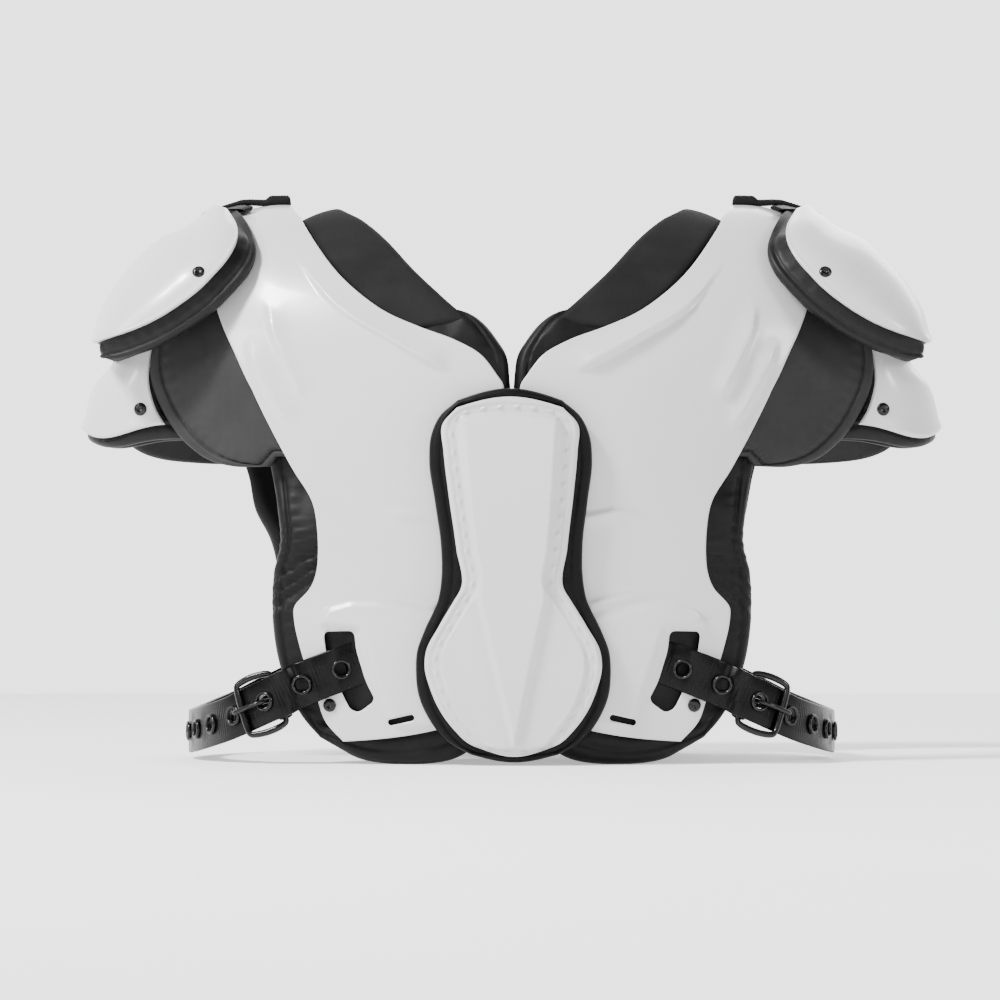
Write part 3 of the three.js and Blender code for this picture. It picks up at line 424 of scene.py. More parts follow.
BINDING = 9
HEM_ROLL = 8
COLLAR_TRIM = 16
# The liner's rolled neck shows between the collar's end and the plate.
NECK_ROLL = {10: dict(in_s=0.035, in_z=0.738), 11: dict(in_s=0.17, in_z=0.802)}
HEM_FOOT = 0.22
STITCH_PITCH = 5.5
SEAM_DEPTH = 3.2
SEAM_WIDTH = 2.3
LINER_STEP = 2.8
# Cloth gathered at the armpit: where, how far it reaches, and the run of its folds.
GATHER = dict(x=149, z=151, reach=26, fold=1.2)
COLLAR_STEP = 4
FLAP_WIDTH = 92
LINER_SEAMS = [
    [(168, 128), (150, 140), (130, 152)],
    [(168, 118), (150, 130), (130, 143)],
    [(168, 108), (150, 121), (130, 134)],
    [(140, 300), (120, 285), (90, 262), (60, 240), (20, 226)],
    [(130, 30), (100, 22), (60, 24), (10, 34)],
    [(178, 225), (150, 222), (120, 224)],
]


def wrinkles(x, z, size, seed, stretch):
    """Soft creases in millimetres of size, between about -1 and 1."""
    draw = np.random.default_rng(seed)
    total = np.zeros(x.shape)
    for k in range(9):
        angle = draw.uniform(0, math.pi)
        wave = size * draw.uniform(0.6, 1.8)
        run = (x * math.cos(angle) * stretch[0] + z * math.sin(angle) * stretch[1]) * 2 * math.pi / wave
        bend = 1.3 * np.sin(run * 0.31 + draw.uniform(0, 6)) + draw.uniform(0, 6)
        total += np.sin(run + bend) / 3
    return np.clip(total, -1, 1)


def quilt(edge, along, seams=(), x=None, z=None, binding=BINDING, depth=1.1):
    """How far a padded face sinks: the binding's seam with its puckers, and the sewn lines."""
    stitches = 0.5 + 0.5 * np.cos(2 * math.pi * along / STITCH_PITCH)
    sunk = 1.5 * depth * hump(edge, binding, 1.3) * (0.75 + 0.25 * stitches)
    pucker = hump(edge, binding + 4, 5) * np.cos(2 * math.pi * along / (STITCH_PITCH * 1.7))
    sunk = sunk + 0.5 * pucker
    for line in seams:
        away, share = side_of_line(x, z, line)
        sunk = sunk + SEAM_DEPTH * hump(away, 0, SEAM_WIDTH) * smooth_step(0, 0.08, share + 0.06)
    return sunk


def liner(side):
    rows = [dict(row, **NECK_ROLL.get(k, {})) for k, row in enumerate(LINER_ROWS)]
    sheet = Sheet(rows, LINER_CROWN, LINER_STEP, PAD_EDGE, LINER_SPREAD[side])
    drop = FLAP_THICK + 2 * SEAT_GAP
    sunk = sheet.sink * drop * smooth_step(0.4, 0.93, sheet.u)
    thick = LINER_THICK - sunk
    middle = -SEAT_GAP - sunk - thick / 2
    base = sheet.points(middle)
    x, z = base[..., 0], base[..., 2]
    seams = quilt(sheet.edge, sheet.along, LINER_SEAMS, x, z)
    crease = wrinkles(x, z, 30, 3 + side, (1, 0.7)) * 1.1 * smooth_step(8, 14, sheet.edge)
    away = np.hypot(x - GATHER["x"], z - GATHER["z"])
    gather = smooth_step(GATHER["reach"], 12, away) * np.sin(z / GATHER["fold"] + x / 9)
    half = pad_half(thick, sheet.edge)
    high = sheet.points(middle + np.maximum(half - (seams + 0.8 - crease - gather), -0.5 * half))
    low = sheet.points(middle - half)
    # The hem rests on the floor with a rounded edge.
    for points in (high, low):
        near = np.minimum(points[..., 2] / HEM_ROLL - 1, 0)
        eased = HEM_ROLL * np.maximum((np.exp(near) - HEM_FOOT) / (1 - HEM_FOOT), 0)
        points[..., 2] = np.where(near < 0, eased, points[..., 2])
    return closed_sheet(high, low)


def collar():
    sheet = Sheet(COLLAR_ROWS, COLLAR_CROWN, COLLAR_STEP, PAD_EDGE, trim=COLLAR_TRIM)
    sag = COLLAR_SAG * sheet.u**2 * np.maximum(0, 1 - 2 * np.abs(sheet.q))
    middle = LAY_GAP - sag - COLLAR_THICK / 2
    half = pad_half(COLLAR_THICK, sheet.edge)
    return closed_sheet(sheet.points(middle + half), sheet.points(middle - half))


def flap(face):
    marks = marks_of([[r["out_s"] * BODY_REACH, r["out_z"] * STAND_HEIGHT] for r in FLAP_ROWS])
    at = spaced(marks[-1], SHEET_STEP, PAD_EDGE)
    fine = through([list(r.values()) for r in FLAP_ROWS], marks, at)
    across = spaced(FLAP_WIDTH, SHEET_STEP, PAD_EDGE)
    u = across / FLAP_WIDTH
    s = fine[:, :1] * BODY_REACH + FLAP_HOLD * np.minimum(1, u / FLAP_HOLD_COLUMN)[None, :]
    q = -face * turn_at(s, fine[:, 1:2] * STAND_HEIGHT)
    held = body_point(s, q, np.full(s.shape, -SEAT_GAP - FLAP_THICK / 2))
    free_s, free_z = fine[:, 5:7].T if face == BACK else fine[:, 2:4].T
    free = [free_s * BODY_REACH, face * fine[:, 4] * SIDE_DEPTH, free_z * STAND_HEIGHT]
    free = np.stack(free, -1)[:, None]
    out = np.clip((u - FLAP_HOLD_COLUMN) / (1 - FLAP_HOLD_COLUMN), 0, 1)[None, :, None]
    middle = held + (free - held) * out
    edge, along = edges(at, across, np.minimum(across, FLAP_WIDTH - across))
    x, z = middle[..., 0], middle[..., 2]
    crease = wrinkles(x, z, 46, 11 + face, (1, 0.6)) * 0.8 * smooth_step(8, 18, edge)
    half = pad_half(FLAP_THICK, edge)
    sunk = quilt(edge, along, depth=1.8) - crease + 0.5
    outward = np.array([0, face, 0])
    outer = middle + outward * np.maximum(half - sunk, -0.5 * half)[..., None]
    return closed_sheet(outer, middle - outward * half[..., None])


# Caps and cups

CAP_PAD_START, CAP_PAD_END, CUP_PAD_END = named(DOME_KEYS, (
    (975, 1008, 945, 994, 370), (1500, 718, 1460, 715, 842), (1550, 573, 1200, 573, 705, 16),
))
CAP_PAD_REACH = 14
CAP_PAD_FAN = 13
CAP_PAD_TURN = 92
# The cap pad's first rows share one normal, taken this far along, and its outer face rises over the arch.
CAP_PAD_NORMAL = 34
CAP_PAD_CROWN = 3.2
CUP_PAD_TURN = 100
ARCH_CLEARANCE = 3.8
SHELL_TURN = 90
SHELL_STEP = 3
LIP_RISE = 0.7
RIM_TURN = 1.46
NORMAL_MARGIN = 8


class Dome:
    """Fine grid of a cap or cup: sections from its inner end outwards, turning from back to front."""

    def __init__(self, rows, turn, step, edge):
        table = np.array([list(row.values()) for row in rows])
        self.marks = marks_of([[r[0] * BODY_REACH, r[1] * STAND_HEIGHT] for r in table])
        self.table = table
        self.at = spaced(self.marks[-1], step, edge)
        span = table[:, 4].max() * SIDE_DEPTH * math.pi * turn / 90
        across = spaced(span, step, edge)
        self.turns = np.radians(turn) * (2 * across / span - 1)
        self.u = across / span
        self.edge, self.along = edges(self.at, across, np.minimum(across, span - across))
        self.row = np.interp(self.at, self.marks, np.arange(len(rows)))

    def place(self, at, turns):
        t = through(self.table, self.marks, np.atleast_1d(at))
        away = 1 - np.cos(turns)[None, :]
        dip = t[:, 5:6] * np.sin(2 * turns)[None, :] ** 2
        x = (t[:, :1] + (t[:, 2:3] - t[:, :1]) * away) * BODY_REACH
        y = t[:, 4:5] * np.sin(turns)[None, :] * SIDE_DEPTH
        z = (t[:, 1:2] + (t[:, 3:4] - t[:, 1:2]) * away - dip) * STAND_HEIGHT
        return np.stack([x, y, z], -1)

    def normal(self, start):
        at = np.clip(self.at, start, self.marks[-1] - NORMAL_MARGIN)
        turns = np.clip(self.turns, -RIM_TURN, RIM_TURN)
        across = self.place(at, turns + 0.02) - self.place(at, turns - 0.02)
        along = self.place(at + 3, turns) - self.place(at - 3, turns)
        return unit(np.cross(along, across))

    def points(self, lift, start=NORMAL_MARGIN):
        return self.place(self.at, self.turns) + self.normal(start) * np.asarray(lift)[..., None]


def shell(rows):
    dome = Dome(rows, SHELL_TURN, SHELL_STEP, PLATE_EDGE)
    half = plate_half(dome.edge)
    lip = LIP_RISE * (1 - smooth_step(3, 8, dome.edge))
    outer = dome.points(-PLATE_WALL / 2 + half + lip * smooth_step(0, 2, dome.edge))
    inner = dome.points(-PLATE_WALL / 2 - half)
    return closed_sheet(outer, inner)


def clear_of_arch(points, row, extra=0.0):
    """Points of a cap's pad moved out to clear the arch under it."""
    x, y, z = np.moveaxis(points, -1, 0)
    foot = crown_at(x) - SHOULDER_ROLL
    depth = on_body(x, np.full(x.shape, -1.0))[..., 1] + PLATE_WALL + ARCH_CLEARANCE
    rise = SHOULDER_ROLL + PLATE_WALL + ARCH_CLEARANCE + extra
    share = np.hypot((z - foot) / rise, y / depth)
    share = np.where((z > foot) & (share < 1), share, 1)
    pushed = np.stack([x, y / share, foot + (z - foot) / share], -1)
    # Its first rows lie over the crown, so they are only lifted.
    lid = foot + rise * np.sqrt(np.clip(1 - (y / depth) ** 2, 0, 1))
    lifted = np.stack([x, y, np.maximum(z, lid)], -1)
    first = (1 - smooth_step(1, 2, row))[:, None, None]
    return lifted * first + pushed * (1 - first)


def cap_pad():
    rows = [CAP_PAD_START, *CAP_ROWS, CAP_PAD_END]
    dome = Dome(rows, CAP_PAD_TURN, SHEET_STEP, PAD_EDGE)
    half = pad_half(CAP_PAD_THICK, dome.edge)
    groove = quilt(dome.edge, dome.along, binding=7.5, depth=1.3) * smooth_step(0.3, 2, dome.row)[:, None]
    rim = smooth_step(0.07, 0, np.minimum(dome.u, 1 - dome.u))[None, :]
    fan = np.radians((dome.row - 1) * CAP_PAD_FAN)[:, None]
    grown = np.clip(0.45 + 0.25 * dome.row, 0, 1) * (1 - 0.7 * np.clip(dome.row - len(rows) + 2, 0, 1))
    reach = CAP_PAD_REACH * grown[:, None] * rim
    shift = np.stack([-reach * np.cos(fan), 0 * reach, -reach * np.sin(fan)], -1)
    middle = -PLATE_WALL - CAP_GAP - CAP_PAD_THICK / 2
    outer = dome.points(middle + np.maximum(half - groove, -0.4 * half), CAP_PAD_NORMAL) + shift
    outer = clear_of_arch(outer, dome.row, CAP_PAD_CROWN * half / half.max())
    inner = clear_of_arch(dome.points(middle - half, CAP_PAD_NORMAL) + shift, dome.row)
    return closed_sheet(outer, inner)


def cup_pad():
    dome = Dome([*CUP_ROWS, CUP_PAD_END], CUP_PAD_TURN, SHEET_STEP, PAD_EDGE)
    half = pad_half(CUP_PAD_THICK, dome.edge)
    groove = quilt(dome.edge, dome.along, binding=7, depth=1.0)
    middle = -PLATE_WALL - CUP_GAP - CUP_PAD_THICK / 2
    outer = dome.points(middle + np.maximum(half - groove, -0.4 * half))
    inner = dome.points(middle - half)
    return closed_sheet(outer, inner)


# Breastbone and back pieces

STERNUM_LEAN = 5
# Height, as a share of the crown's, where a leaning middle line crosses the centre plane.
UPRIGHT_AT = 0.35
PANEL_RISE = 2.8
BEAD_RISE = 1.6
MARK_RISE = 1.7
MARK_PITCH = 11.5
CENTRE_PAD_STEP = 3
CENTRE_PLATE_STEP = 1.6
CENTRE_PLATE_EDGE = [*PLATE_EDGE, 4.6, 5.4, 6.2, 7, 7.8, 8.6, 9.8, 10.8, 11.8, 13, 14.5]
FLANGE_SINK = 0.6
BACK_PLATE_INSET = 0.05
PAD_LIFT = PLATE_WALL + LAY_GAP + STERNUM_THICK / 2
PLATE_LIFT = PAD_LIFT + STERNUM_THICK / 2 + LAY_GAP - FLANGE_SINK


class Spread:
    """Fine grid of a centre piece: heights with half widths either side of a leaning middle line."""

    def __init__(self, rows, face, inset, lean, step, edge):
        table = np.array([[r["z"], r["half"] - inset, r["bow"]] for r in rows])
        marks = marks_of(table * [STAND_HEIGHT, BODY_REACH, 0])
        at = spaced(marks[-1], step, edge)
        fine = through(table, marks, at)
        wide = 2 * fine[:, 1:2] * BODY_REACH
        u = shares(spaced(wide.max(), step, edge), wide, edge)
        self.z = (fine[:, :1] + fine[:, 2:3] * np.sin(np.pi * u)) * STAND_HEIGHT
        self.middle = lean * (UPRIGHT_AT - self.z / CROWN_HEIGHT)
        self.x = self.middle + (2 * u - 1) * wide / 2
        self.q = -face * turn_at(np.abs(self.x), self.z)
        self.edge, self.along = edges(at, u * wide, np.minimum(u, 1 - u) * wide)

    def points(self, lift):
        return body_point(self.x, self.q, lift)


def centre_pad(rows, face, lean):
    grid = Spread(rows, face, 0, lean, CENTRE_PAD_STEP, PAD_EDGE)
    half = pad_half(STERNUM_THICK, grid.edge)
    groove = quilt(grid.edge, grid.along, binding=8.5, depth=0.9)
    crease = wrinkles(grid.x, grid.z, 22, 31 + face, (1, 0.5)) * 0.35 * smooth_step(3, 6, grid.edge)
    outer = grid.points(PAD_LIFT + np.maximum(half - groove + crease - 0.3, -0.4 * half))
    return closed_sheet(outer, grid.points(PAD_LIFT - half))


def centre_plate(rows, face, inset, lean):
    grid = Spread(rows, face, inset, lean, CENTRE_PLATE_STEP, CENTRE_PLATE_EDGE)
    half = plate_half(grid.edge)
    panel = PLATE_LIFT + PLATE_WALL / 2 + PANEL_RISE * smooth_step(10.8, 12.2, grid.edge)
    dimple = 0.5 + 0.5 * np.cos(2 * math.pi * grid.along / MARK_PITCH)
    relief = BEAD_RISE * hump(grid.edge, 3, 0.9) + MARK_RISE * hump(grid.edge, 7, 1.1) * dimple**6
    if face == FRONT:
        relief = relief + centre_relief(grid)
    return closed_sheet(grid.points(panel + relief + half), grid.points(panel - half))


# Tapered panel down the breastbone plate: height and half width at its top and waist, and its point.
TAPER_TOP = (247, 31)
TAPER_WAIST = (117, 21)
TAPER_POINT = 20
TAPER_RISE = 4.2
TAPER_BEVEL = 3.6
FLANK_DROP = 0.88


def centre_relief(grid):
    above = (grid.z - TAPER_WAIST[0]) / (TAPER_TOP[0] - TAPER_WAIST[0])
    upper = TAPER_WAIST[1] + (TAPER_TOP[1] - TAPER_WAIST[1]) * above
    lower = TAPER_WAIST[1] * (grid.z - TAPER_POINT) / (TAPER_WAIST[0] - TAPER_POINT)
    half = np.where(above > 0, upper, np.maximum(lower, -1))
    away = half - np.abs(grid.x - grid.middle)
    raised = TAPER_RISE * smooth_step(-TAPER_BEVEL, 0, away) * smooth_step(11, 14, grid.edge)
    flank = FLANK_DROP * smooth_step(0, 26, -away) * (above < 0) * smooth_step(11, 13, grid.edge)
    return raised - flank


# Belts and fittings

BELT_WIDTH = 31
BELT_THICK = 2.5
BELT_RISE = 8.8
PLY_GAP = 0.5
BAR_GAP = 0.8
EYELET_PITCH = 30
EYELET_COUNT = 7
FIRST_EYELET = 38
EYELET_BORE = 4.4
EYELET_NECK = 5.2
EYELET_FLANGE = 7.2
EYELET_RISE = 1.5
EYELET_SEAT = 0.8
EYELET_FLAT = 8
BORE_SLACK = 0.4
BORE_DEPTHS = (-6, 9)
BORE_SIDES = 28
RIVET_SIDES = 32
PRONG_EYELET = 2
BUCKLE_WIRE = 2.1
PRONG_WIRE = 1.5
NOTCH_SLACK = 1.2
NOTCH_BACK = 5
NOTCH_RUN = 26
NOTCH_DEPTHS = (-16, 9)
BUCKLE_STRAP_START = 50
BELT_STEP = 0.62
RIB_RISE = 0.13
RIB_PITCH = 2.5
RIB_MARGIN = 3.5
BELT_ROWS = named("s z lift depth", (
    (430, 200, -273, None), (490, 188, -273, None), (545, 177, -261, None), (614, 163.5, 670, None),
    (670, 152.5, 977, None), (730, 140, 1000, None), (800, 125, None, 895), (880, 106.5, None, 840),
    (990, 80, None, 710), (1080, 62.5, None, 500), (1135, 52.5, None, 260), (1155, 49, None),
))


class Line:
    """The belt's centre line round the side, read by distance from its tucked front end."""

    def __init__(self):
        front = []
        for row in BELT_ROWS:
            s, z = row["s"] * BODY_REACH, row["z"] * STAND_HEIGHT
            if row["lift"] is None:
                front.append(np.array([s, -row["depth"] * CHEST_DEPTH, z]))
            else:
                front.append(body_point(np.array(s), turn_at(s, z), row["lift"] * BELT_RISE))
        back = [p * [1, -1, 1] for p in front[:-1]]
        points = [*front, *reversed(back)]
        points = [2 * points[0] - points[1], *points, 2 * points[-1] - points[-2]]
        dense = []
        for p0, p1, p2, p3 in zip(points, points[1:], points[2:], points[3:]):
            d0, d1, d2 = (np.linalg.norm(v) ** 0.5 for v in (p1 - p0, p2 - p1, p3 - p2))
            t1 = d1 * ((p1 - p0) / d0 - (p2 - p0) / (d0 + d1) + (p2 - p1) / d1)
            t2 = d1 * ((p2 - p1) / d1 - (p3 - p1) / (d1 + d2) + (p3 - p2) / d2)
            bend, twist = 3 * (p2 - p1) - 2 * t1 - t2, 2 * (p1 - p2) + t1 + t2
            t = np.linspace(0, 1, 40, endpoint=False)[:, None]
            dense += list(p1 + t1 * t + bend * t**2 + twist * t**3)
        dense.append(points[-2])
        self.points = np.array(dense)
        self.marks = np.concatenate([[0], np.cumsum(np.linalg.norm(np.diff(self.points, axis=0), axis=1))])
        self.length = self.marks[-1]

    def centre(self, d):
        return np.array([np.interp(d, self.marks, self.points[:, k]) for k in range(3)]).T

    def frame(self, d):
        along = unit(self.centre(d + 0.6) - self.centre(d - 0.6))
        out = unit(np.stack([along[..., 1], -along[..., 0], 0 * along[..., 0]], -1))
        return along, out, unit(np.cross(out, along))

    def spot(self, d, height, across):
        d = np.clip(np.asarray(d, float), 0.7, self.length - 0.7)
        _, out, up = self.frame(d)
        return self.centre(d) + out * np.asarray(height)[..., None] + up * np.asarray(across)[..., None]


def tube(rings, closed=False):
    """A mesh through rings of points, closed on itself or capped at both ends."""
    count, around = rings.shape[:2]
    grid = np.arange(count * around).reshape(count, around)
    after = np.roll(grid, -1, axis=1)
    ahead = np.roll(grid, -1, axis=0)
    ahead_after = np.roll(after, -1, axis=0)
    spans = count if closed else count - 1
    quads = np.stack([grid, after, ahead_after, ahead], -1)[:spans].reshape(-1, 4).tolist()
    if not closed:
        quads += [grid[0, ::-1].tolist(), grid[-1].tolist()]
    piece = mesh_piece(rings.reshape(-1, 3), quads)
    with reshaped(piece.data) as shape:
        bmesh.ops.recalc_face_normals(shape, faces=shape.faces)
    return piece


def strap_section():
    """Height and across of a belt's outline, with rounded edges."""
    r = BELT_THICK / 2
    flat = BELT_WIDTH / 2 - r
    right = [(r * math.sin(a), flat + r * math.cos(a)) for a in np.linspace(-math.pi / 2, math.pi / 2, 7)]
    top = [(r, w) for w in np.linspace(flat, -flat, 5)[1:-1]]
    return [*right, *top, *[(-h, -w) for h, w in right], *[(-h, -w) for h, w in top]]


def belt(line):
    marks = np.arange(0, line.length, BELT_STEP)
    rib = RIB_RISE * np.sin(2 * math.pi * marks / RIB_PITCH)
    for k in range(EYELET_COUNT):
        rib = rib * smooth_step(8, 10, np.abs(marks - eyelet_at(k)))

    def run(h, w):
        ribbed = rib * np.sign(h) * (abs(w) < BELT_WIDTH / 2 - RIB_MARGIN)
        return line.spot(marks, h + ribbed, np.full(marks.shape, w))

    rings = np.stack([run(h, w) for h, w in strap_section()], 1)
    cutters = [bore_cutter(f"eyelet_{k + 1}_left") for k in range(EYELET_COUNT)]
    return cut(tube(rings), cutters)


def eyelet_at(k):
    return FIRST_EYELET + k * EYELET_PITCH


def axis_of(node):
    """Foot and outward axis of a turned CAD node: its foot is the end on the belt's or plate's side."""
    points = np.unique(np.round([v.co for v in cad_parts[node].data.vertices], 6), axis=0) / MM
    arms = points - points.mean(0)
    axis = np.linalg.svd(arms)[2][2]
    heights = arms @ axis
    outward = heights.min() + heights.max()
    if node.startswith("eyelet"):
        outward = heights[np.linalg.norm(np.cross(arms, axis), axis=1) > EYELET_FLANGE - 0.4].mean()
    if outward < 0:
        axis, heights = -axis, -heights
    return points[heights < heights.min() + 0.05].mean(0), axis


def turned(profile, foot, axis, sides=36):
    """A solid turned about an axis from radius and height pairs."""
    side = unit(np.cross(axis, [0.31, 0.2, 0.93]))
    other = np.cross(axis, side)
    angles = 2 * math.pi * np.arange(sides) / sides
    spokes = np.outer(np.cos(angles), side) + np.outer(np.sin(angles), other)
    rings = np.array([foot + axis * h + spokes * r for r, h in profile])
    return tube(rings, profile[0][0] > 0)


def bore_cutter(node):
    foot, axis = axis_of(node)
    radius = EYELET_NECK + BORE_SLACK
    low, high = BORE_DEPTHS
    return turned([(0.01, low), (radius, low), (radius, high), (0.01, high)], foot, axis, BORE_SIDES)


def eyelet(node):
    foot, axis = axis_of(node)
    seat = BELT_THICK + EYELET_SEAT
    bend = np.linspace(0, math.pi, 9)
    middle = (EYELET_FLANGE + EYELET_BORE) / 2 + 0.2
    half = (EYELET_FLANGE - EYELET_BORE) / 2 - 0.2
    crown = [(middle + half * math.cos(a), seat + 0.3 + EYELET_RISE * math.sin(a)) for a in bend]
    profile = [(EYELET_BORE, 0), (EYELET_NECK, 0), (EYELET_NECK, seat), (EYELET_FLANGE, seat), *crown]
    return turned(profile, foot, axis)


# Radius and height pairs of a rivet's domed head with its dished middle.
RIVET_PROFILE = [(0.01, 0), (4.6, 0), (4.75, 0.5), (4.4, 1.2), (3.6, 1.8), (2.6, 2.15), (2.2, 2.2),
                 (2, 1.5), (1.6, 1.35), (0.01, 1.5)]


def rivet(node):
    foot, axis = axis_of(node)
    return turned(RIVET_PROFILE, foot, axis, RIVET_SIDES)


def cut(piece, cutters):
    for tool in cutters:
        modifier = piece.modifiers.new("cut", "BOOLEAN")
        modifier.operation = "DIFFERENCE"
        modifier.solver = "EXACT"
        modifier.object = tool
    apply_modifiers(piece)
    for tool in cutters:
        bpy.data.objects.remove(tool)
    return piece


def apply_modifiers(piece):
    bpy.context.view_layer.update()
    depsgraph = bpy.context.evaluated_depsgraph_get()
    made = bpy.data.meshes.new_from_object(piece.evaluated_get(depsgraph))
    piece.modifiers.clear()
    old = piece.data
    piece.data = made
    bpy.data.meshes.remove(old)


def rounded(outline, radius):
    """An outline with its corners rounded."""
    outline = [np.array(p, float) for p in outline]
    result = []
    for before, here, after in zip(outline[-1:] + outline[:-1], outline, outline[1:] + outline[:1]):
        a, b = unit(before - here), unit(after - here)
        reach = min(radius, np.linalg.norm(before - here) * 0.45, np.linalg.norm(after - here) * 0.45)
        result += [here + reach * (a * (1 - t) ** 2 + b * t**2) for t in np.linspace(0, 1, 5)]
    return np.array(result)


def prism(outline, face):
    """A cutter of an outline in distance and height, through the front or the back."""
    rings = [[(x, face * y, z) for x, z in outline] for y in (20, CHEST_DEPTH + 40)]
    return tube(np.array(rings, float))


SMOOTH_LEVELS = 2
FRAME_SWELL = 0.7
PRONG_SWELL = 0.35


def smooth_copy(node, swell):
    """A CAD node's shape, its edges rounded by subdivision and its faces swollen outwards."""
    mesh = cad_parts[node].data.copy()
    with reshaped(mesh) as shape:
        bmesh.ops.remove_doubles(shape, verts=shape.verts, dist=1e-5)
        flat = dict(angle_face_threshold=3.1, angle_shape_threshold=3.1)
        bmesh.ops.join_triangles(shape, faces=shape.faces, **flat)
    piece = placed("piece", mesh)
    modifier = piece.modifiers.new("smooth", "SUBSURF")
    modifier.levels = modifier.render_levels = SMOOTH_LEVELS
    apply_modifiers(piece)
    with reshaped(piece.data) as shape:
        shape.normal_update()
        for v in shape.verts:
            v.co += v.normal * swell * MM
    piece.data.shade_smooth()
    return piece


def buckle_strap(line):
    wrap = BUCKLE_WIRE + BAR_GAP + BELT_THICK / 2
    lower = -(BELT_THICK + PLY_GAP)
    drop = lower - BELT_THICK / 2 - BAR_GAP - BUCKLE_WIRE
    bar = eyelet_at(PRONG_EYELET) - EYELET_FLAT
    flat = [(d, lower, math.pi / 2) for d in np.linspace(BUCKLE_STRAP_START, bar - 0.5, 24)]
    angles = np.radians(np.linspace(80, -135, 22))
    turns = [(bar + wrap * math.cos(a), drop + wrap * math.sin(a), a) for a in angles]
    section = strap_section()
    rings = [
        [line.spot(d + h * math.cos(turn), height + h * math.sin(turn), w) for h, w in section]
        for d, height, turn in [*flat, *turns]
    ]
    piece = tube(np.array(rings))
    middle = line.spot(bar, 0, 0)
    along, away, up = line.frame(np.array(float(bar)))
    half = PRONG_WIRE + NOTCH_SLACK
    ahead = NOTCH_RUN - NOTCH_BACK
    corners = [(-NOTCH_BACK, -half), (ahead, -half), (ahead, half), (-NOTCH_BACK, half)]
    rings = [[middle + along * a + up * b + away * h for a, b in corners] for h in NOTCH_DEPTHS]
    return cut(piece, [tube(np.array(rings))])


# Distance and height as shares, and the number of plies.
WEBBING = [(0.795, 0.9965, 1.5), (0.797, 0.996, 3.2), (0.805, 0.996, 4), (0.865, 0.9955, 4),
           (0.872, 0.9955, 3.6), (0.885, 0.995, 2.3), (0.94, 0.997, 2), (0.97, 0.997, 1.8),
           (1.045, 0.9885, 1)]
WEBBING_THICK = 1.6
WEBBING_WIDTH = 26
WEBBING_BEND = 1.2


def webbing():
    table = np.array(WEBBING)
    marks = marks_of(table[:, :2] * [BODY_REACH, STAND_HEIGHT])
    at = np.linspace(0, marks[-1], 90)
    fine = np.stack([np.interp(at, marks, table[:, k]) for k in range(3)], -1)
    share = np.array([-1, -0.96, -0.5, 0, 0.5, 0.96, 1])
    soft = np.array([0.5, 0.1, 0, 0, 0, 0.1, 0.5])
    rings = []
    for k, (s, z, plies) in enumerate(fine):
        low = z * STAND_HEIGHT - WEBBING_BEND * share**2
        high = plies * WEBBING_THICK
        top = low + high * (1 - soft) + 0.12 * math.sin(k * 1.7)
        x, y = np.full(7, s * BODY_REACH), share * WEBBING_WIDTH / 2
        upper, under = np.stack([x, y, top], -1), np.stack([x, y, low + 0.4 * high * soft], -1)
        rings.append([*upper, *under[::-1]])
    return tube(np.array(rings))


# Finishes

class Finish:
    """A node material; every constant goes on the shader's own sockets."""

    def __init__(self, name, color, roughness, **constants):
        self.made = bpy.data.materials.new(name)
        self.made.use_nodes = True
        self.nodes = self.made.node_tree.nodes
        self.links = self.made.node_tree.links
        self.shader = self.nodes["Principled BSDF"]
        self.shader.inputs["Base Color"].default_value = (*color, 1)
        self.shader.inputs["Roughness"].default_value = roughness
        for key, value in constants.items():
            self.shader.inputs[key.replace("_", " ")].default_value = value
        self.place = self.nodes.new("ShaderNodeTexCoord").outputs["Object"]
        self.height = None

    def add(self, kind, source, socket, **values):
        """A node fed from a source, with constants on its other sockets."""
        node = self.nodes.new("ShaderNode" + kind)
        for key, value in values.items():
            node.inputs[key.replace("_", " ")].default_value = value
        self.links.new(source, node.inputs[socket])
        return node

    def noise(self, scale, detail):
        node = self.add("TexNoise", self.place, "Vector", Scale=scale, Detail=detail, Roughness=0.55)
        return node.outputs["Fac"]

    def wave(self, direction, pitch, bend=0.0):
        """Bands of a pitch in metres."""
        scale = 2 * math.pi / (20 * pitch)
        node = self.add("TexWave", self.place, "Vector", Scale=scale, Distortion=bend, Detail=1)
        node.bands_direction = direction
        return node.outputs["Fac"]

    def math(self, operation, a, b):
        node = self.nodes.new("ShaderNodeMath")
        node.operation = operation
        for socket, value in zip(node.inputs, (a, b)):
            if isinstance(value, (int, float)):
                socket.default_value = value
            else:
                self.links.new(value, socket)
        return node.outputs[0]

    def tone(self, source, low, high):
        node = self.add("ValToRGB", source, "Fac")
        for element, position, color in zip(node.color_ramp.elements, (0.3, 0.7), (low, high)):
            element.position = position
            element.color = (*color, 1)
        self.links.new(node.outputs["Color"], self.shader.inputs["Base Color"])

    def gloss(self, source, low, high):
        node = self.add("MapRange", source, "Value", To_Min=low, To_Max=high)
        self.links.new(node.outputs["Result"], self.shader.inputs["Roughness"])

    def bump(self, source, distance, strength):
        """Bumps added to those that came before."""
        node = self.add("Bump", source, "Height", Distance=distance, Strength=strength)
        if self.height is not None:
            self.links.new(self.height, node.inputs["Normal"])
        self.height = node.outputs["Normal"]
        self.links.new(self.height, self.shader.inputs["Normal"])


def grey(value, warm=0.0):
    return (value * (1 + warm), value, value * (1 - warm))


def white_shell():
    coat = dict(Coat_Weight=0.3, Coat_Roughness=0.12)
    made = Finish("white_shell", grey(0.6), 0.3, Specular_IOR_Level=0.5, **coat)
    made.tone(made.noise(7, 2), grey(0.575, 0.004), grey(0.61, 0.002))
    made.gloss(made.noise(60, 4), 0.26, 0.36)
    made.bump(made.noise(220, 2), 0.00008, 0.4)
    return made.made


WEAVE_PITCH = 0.0008


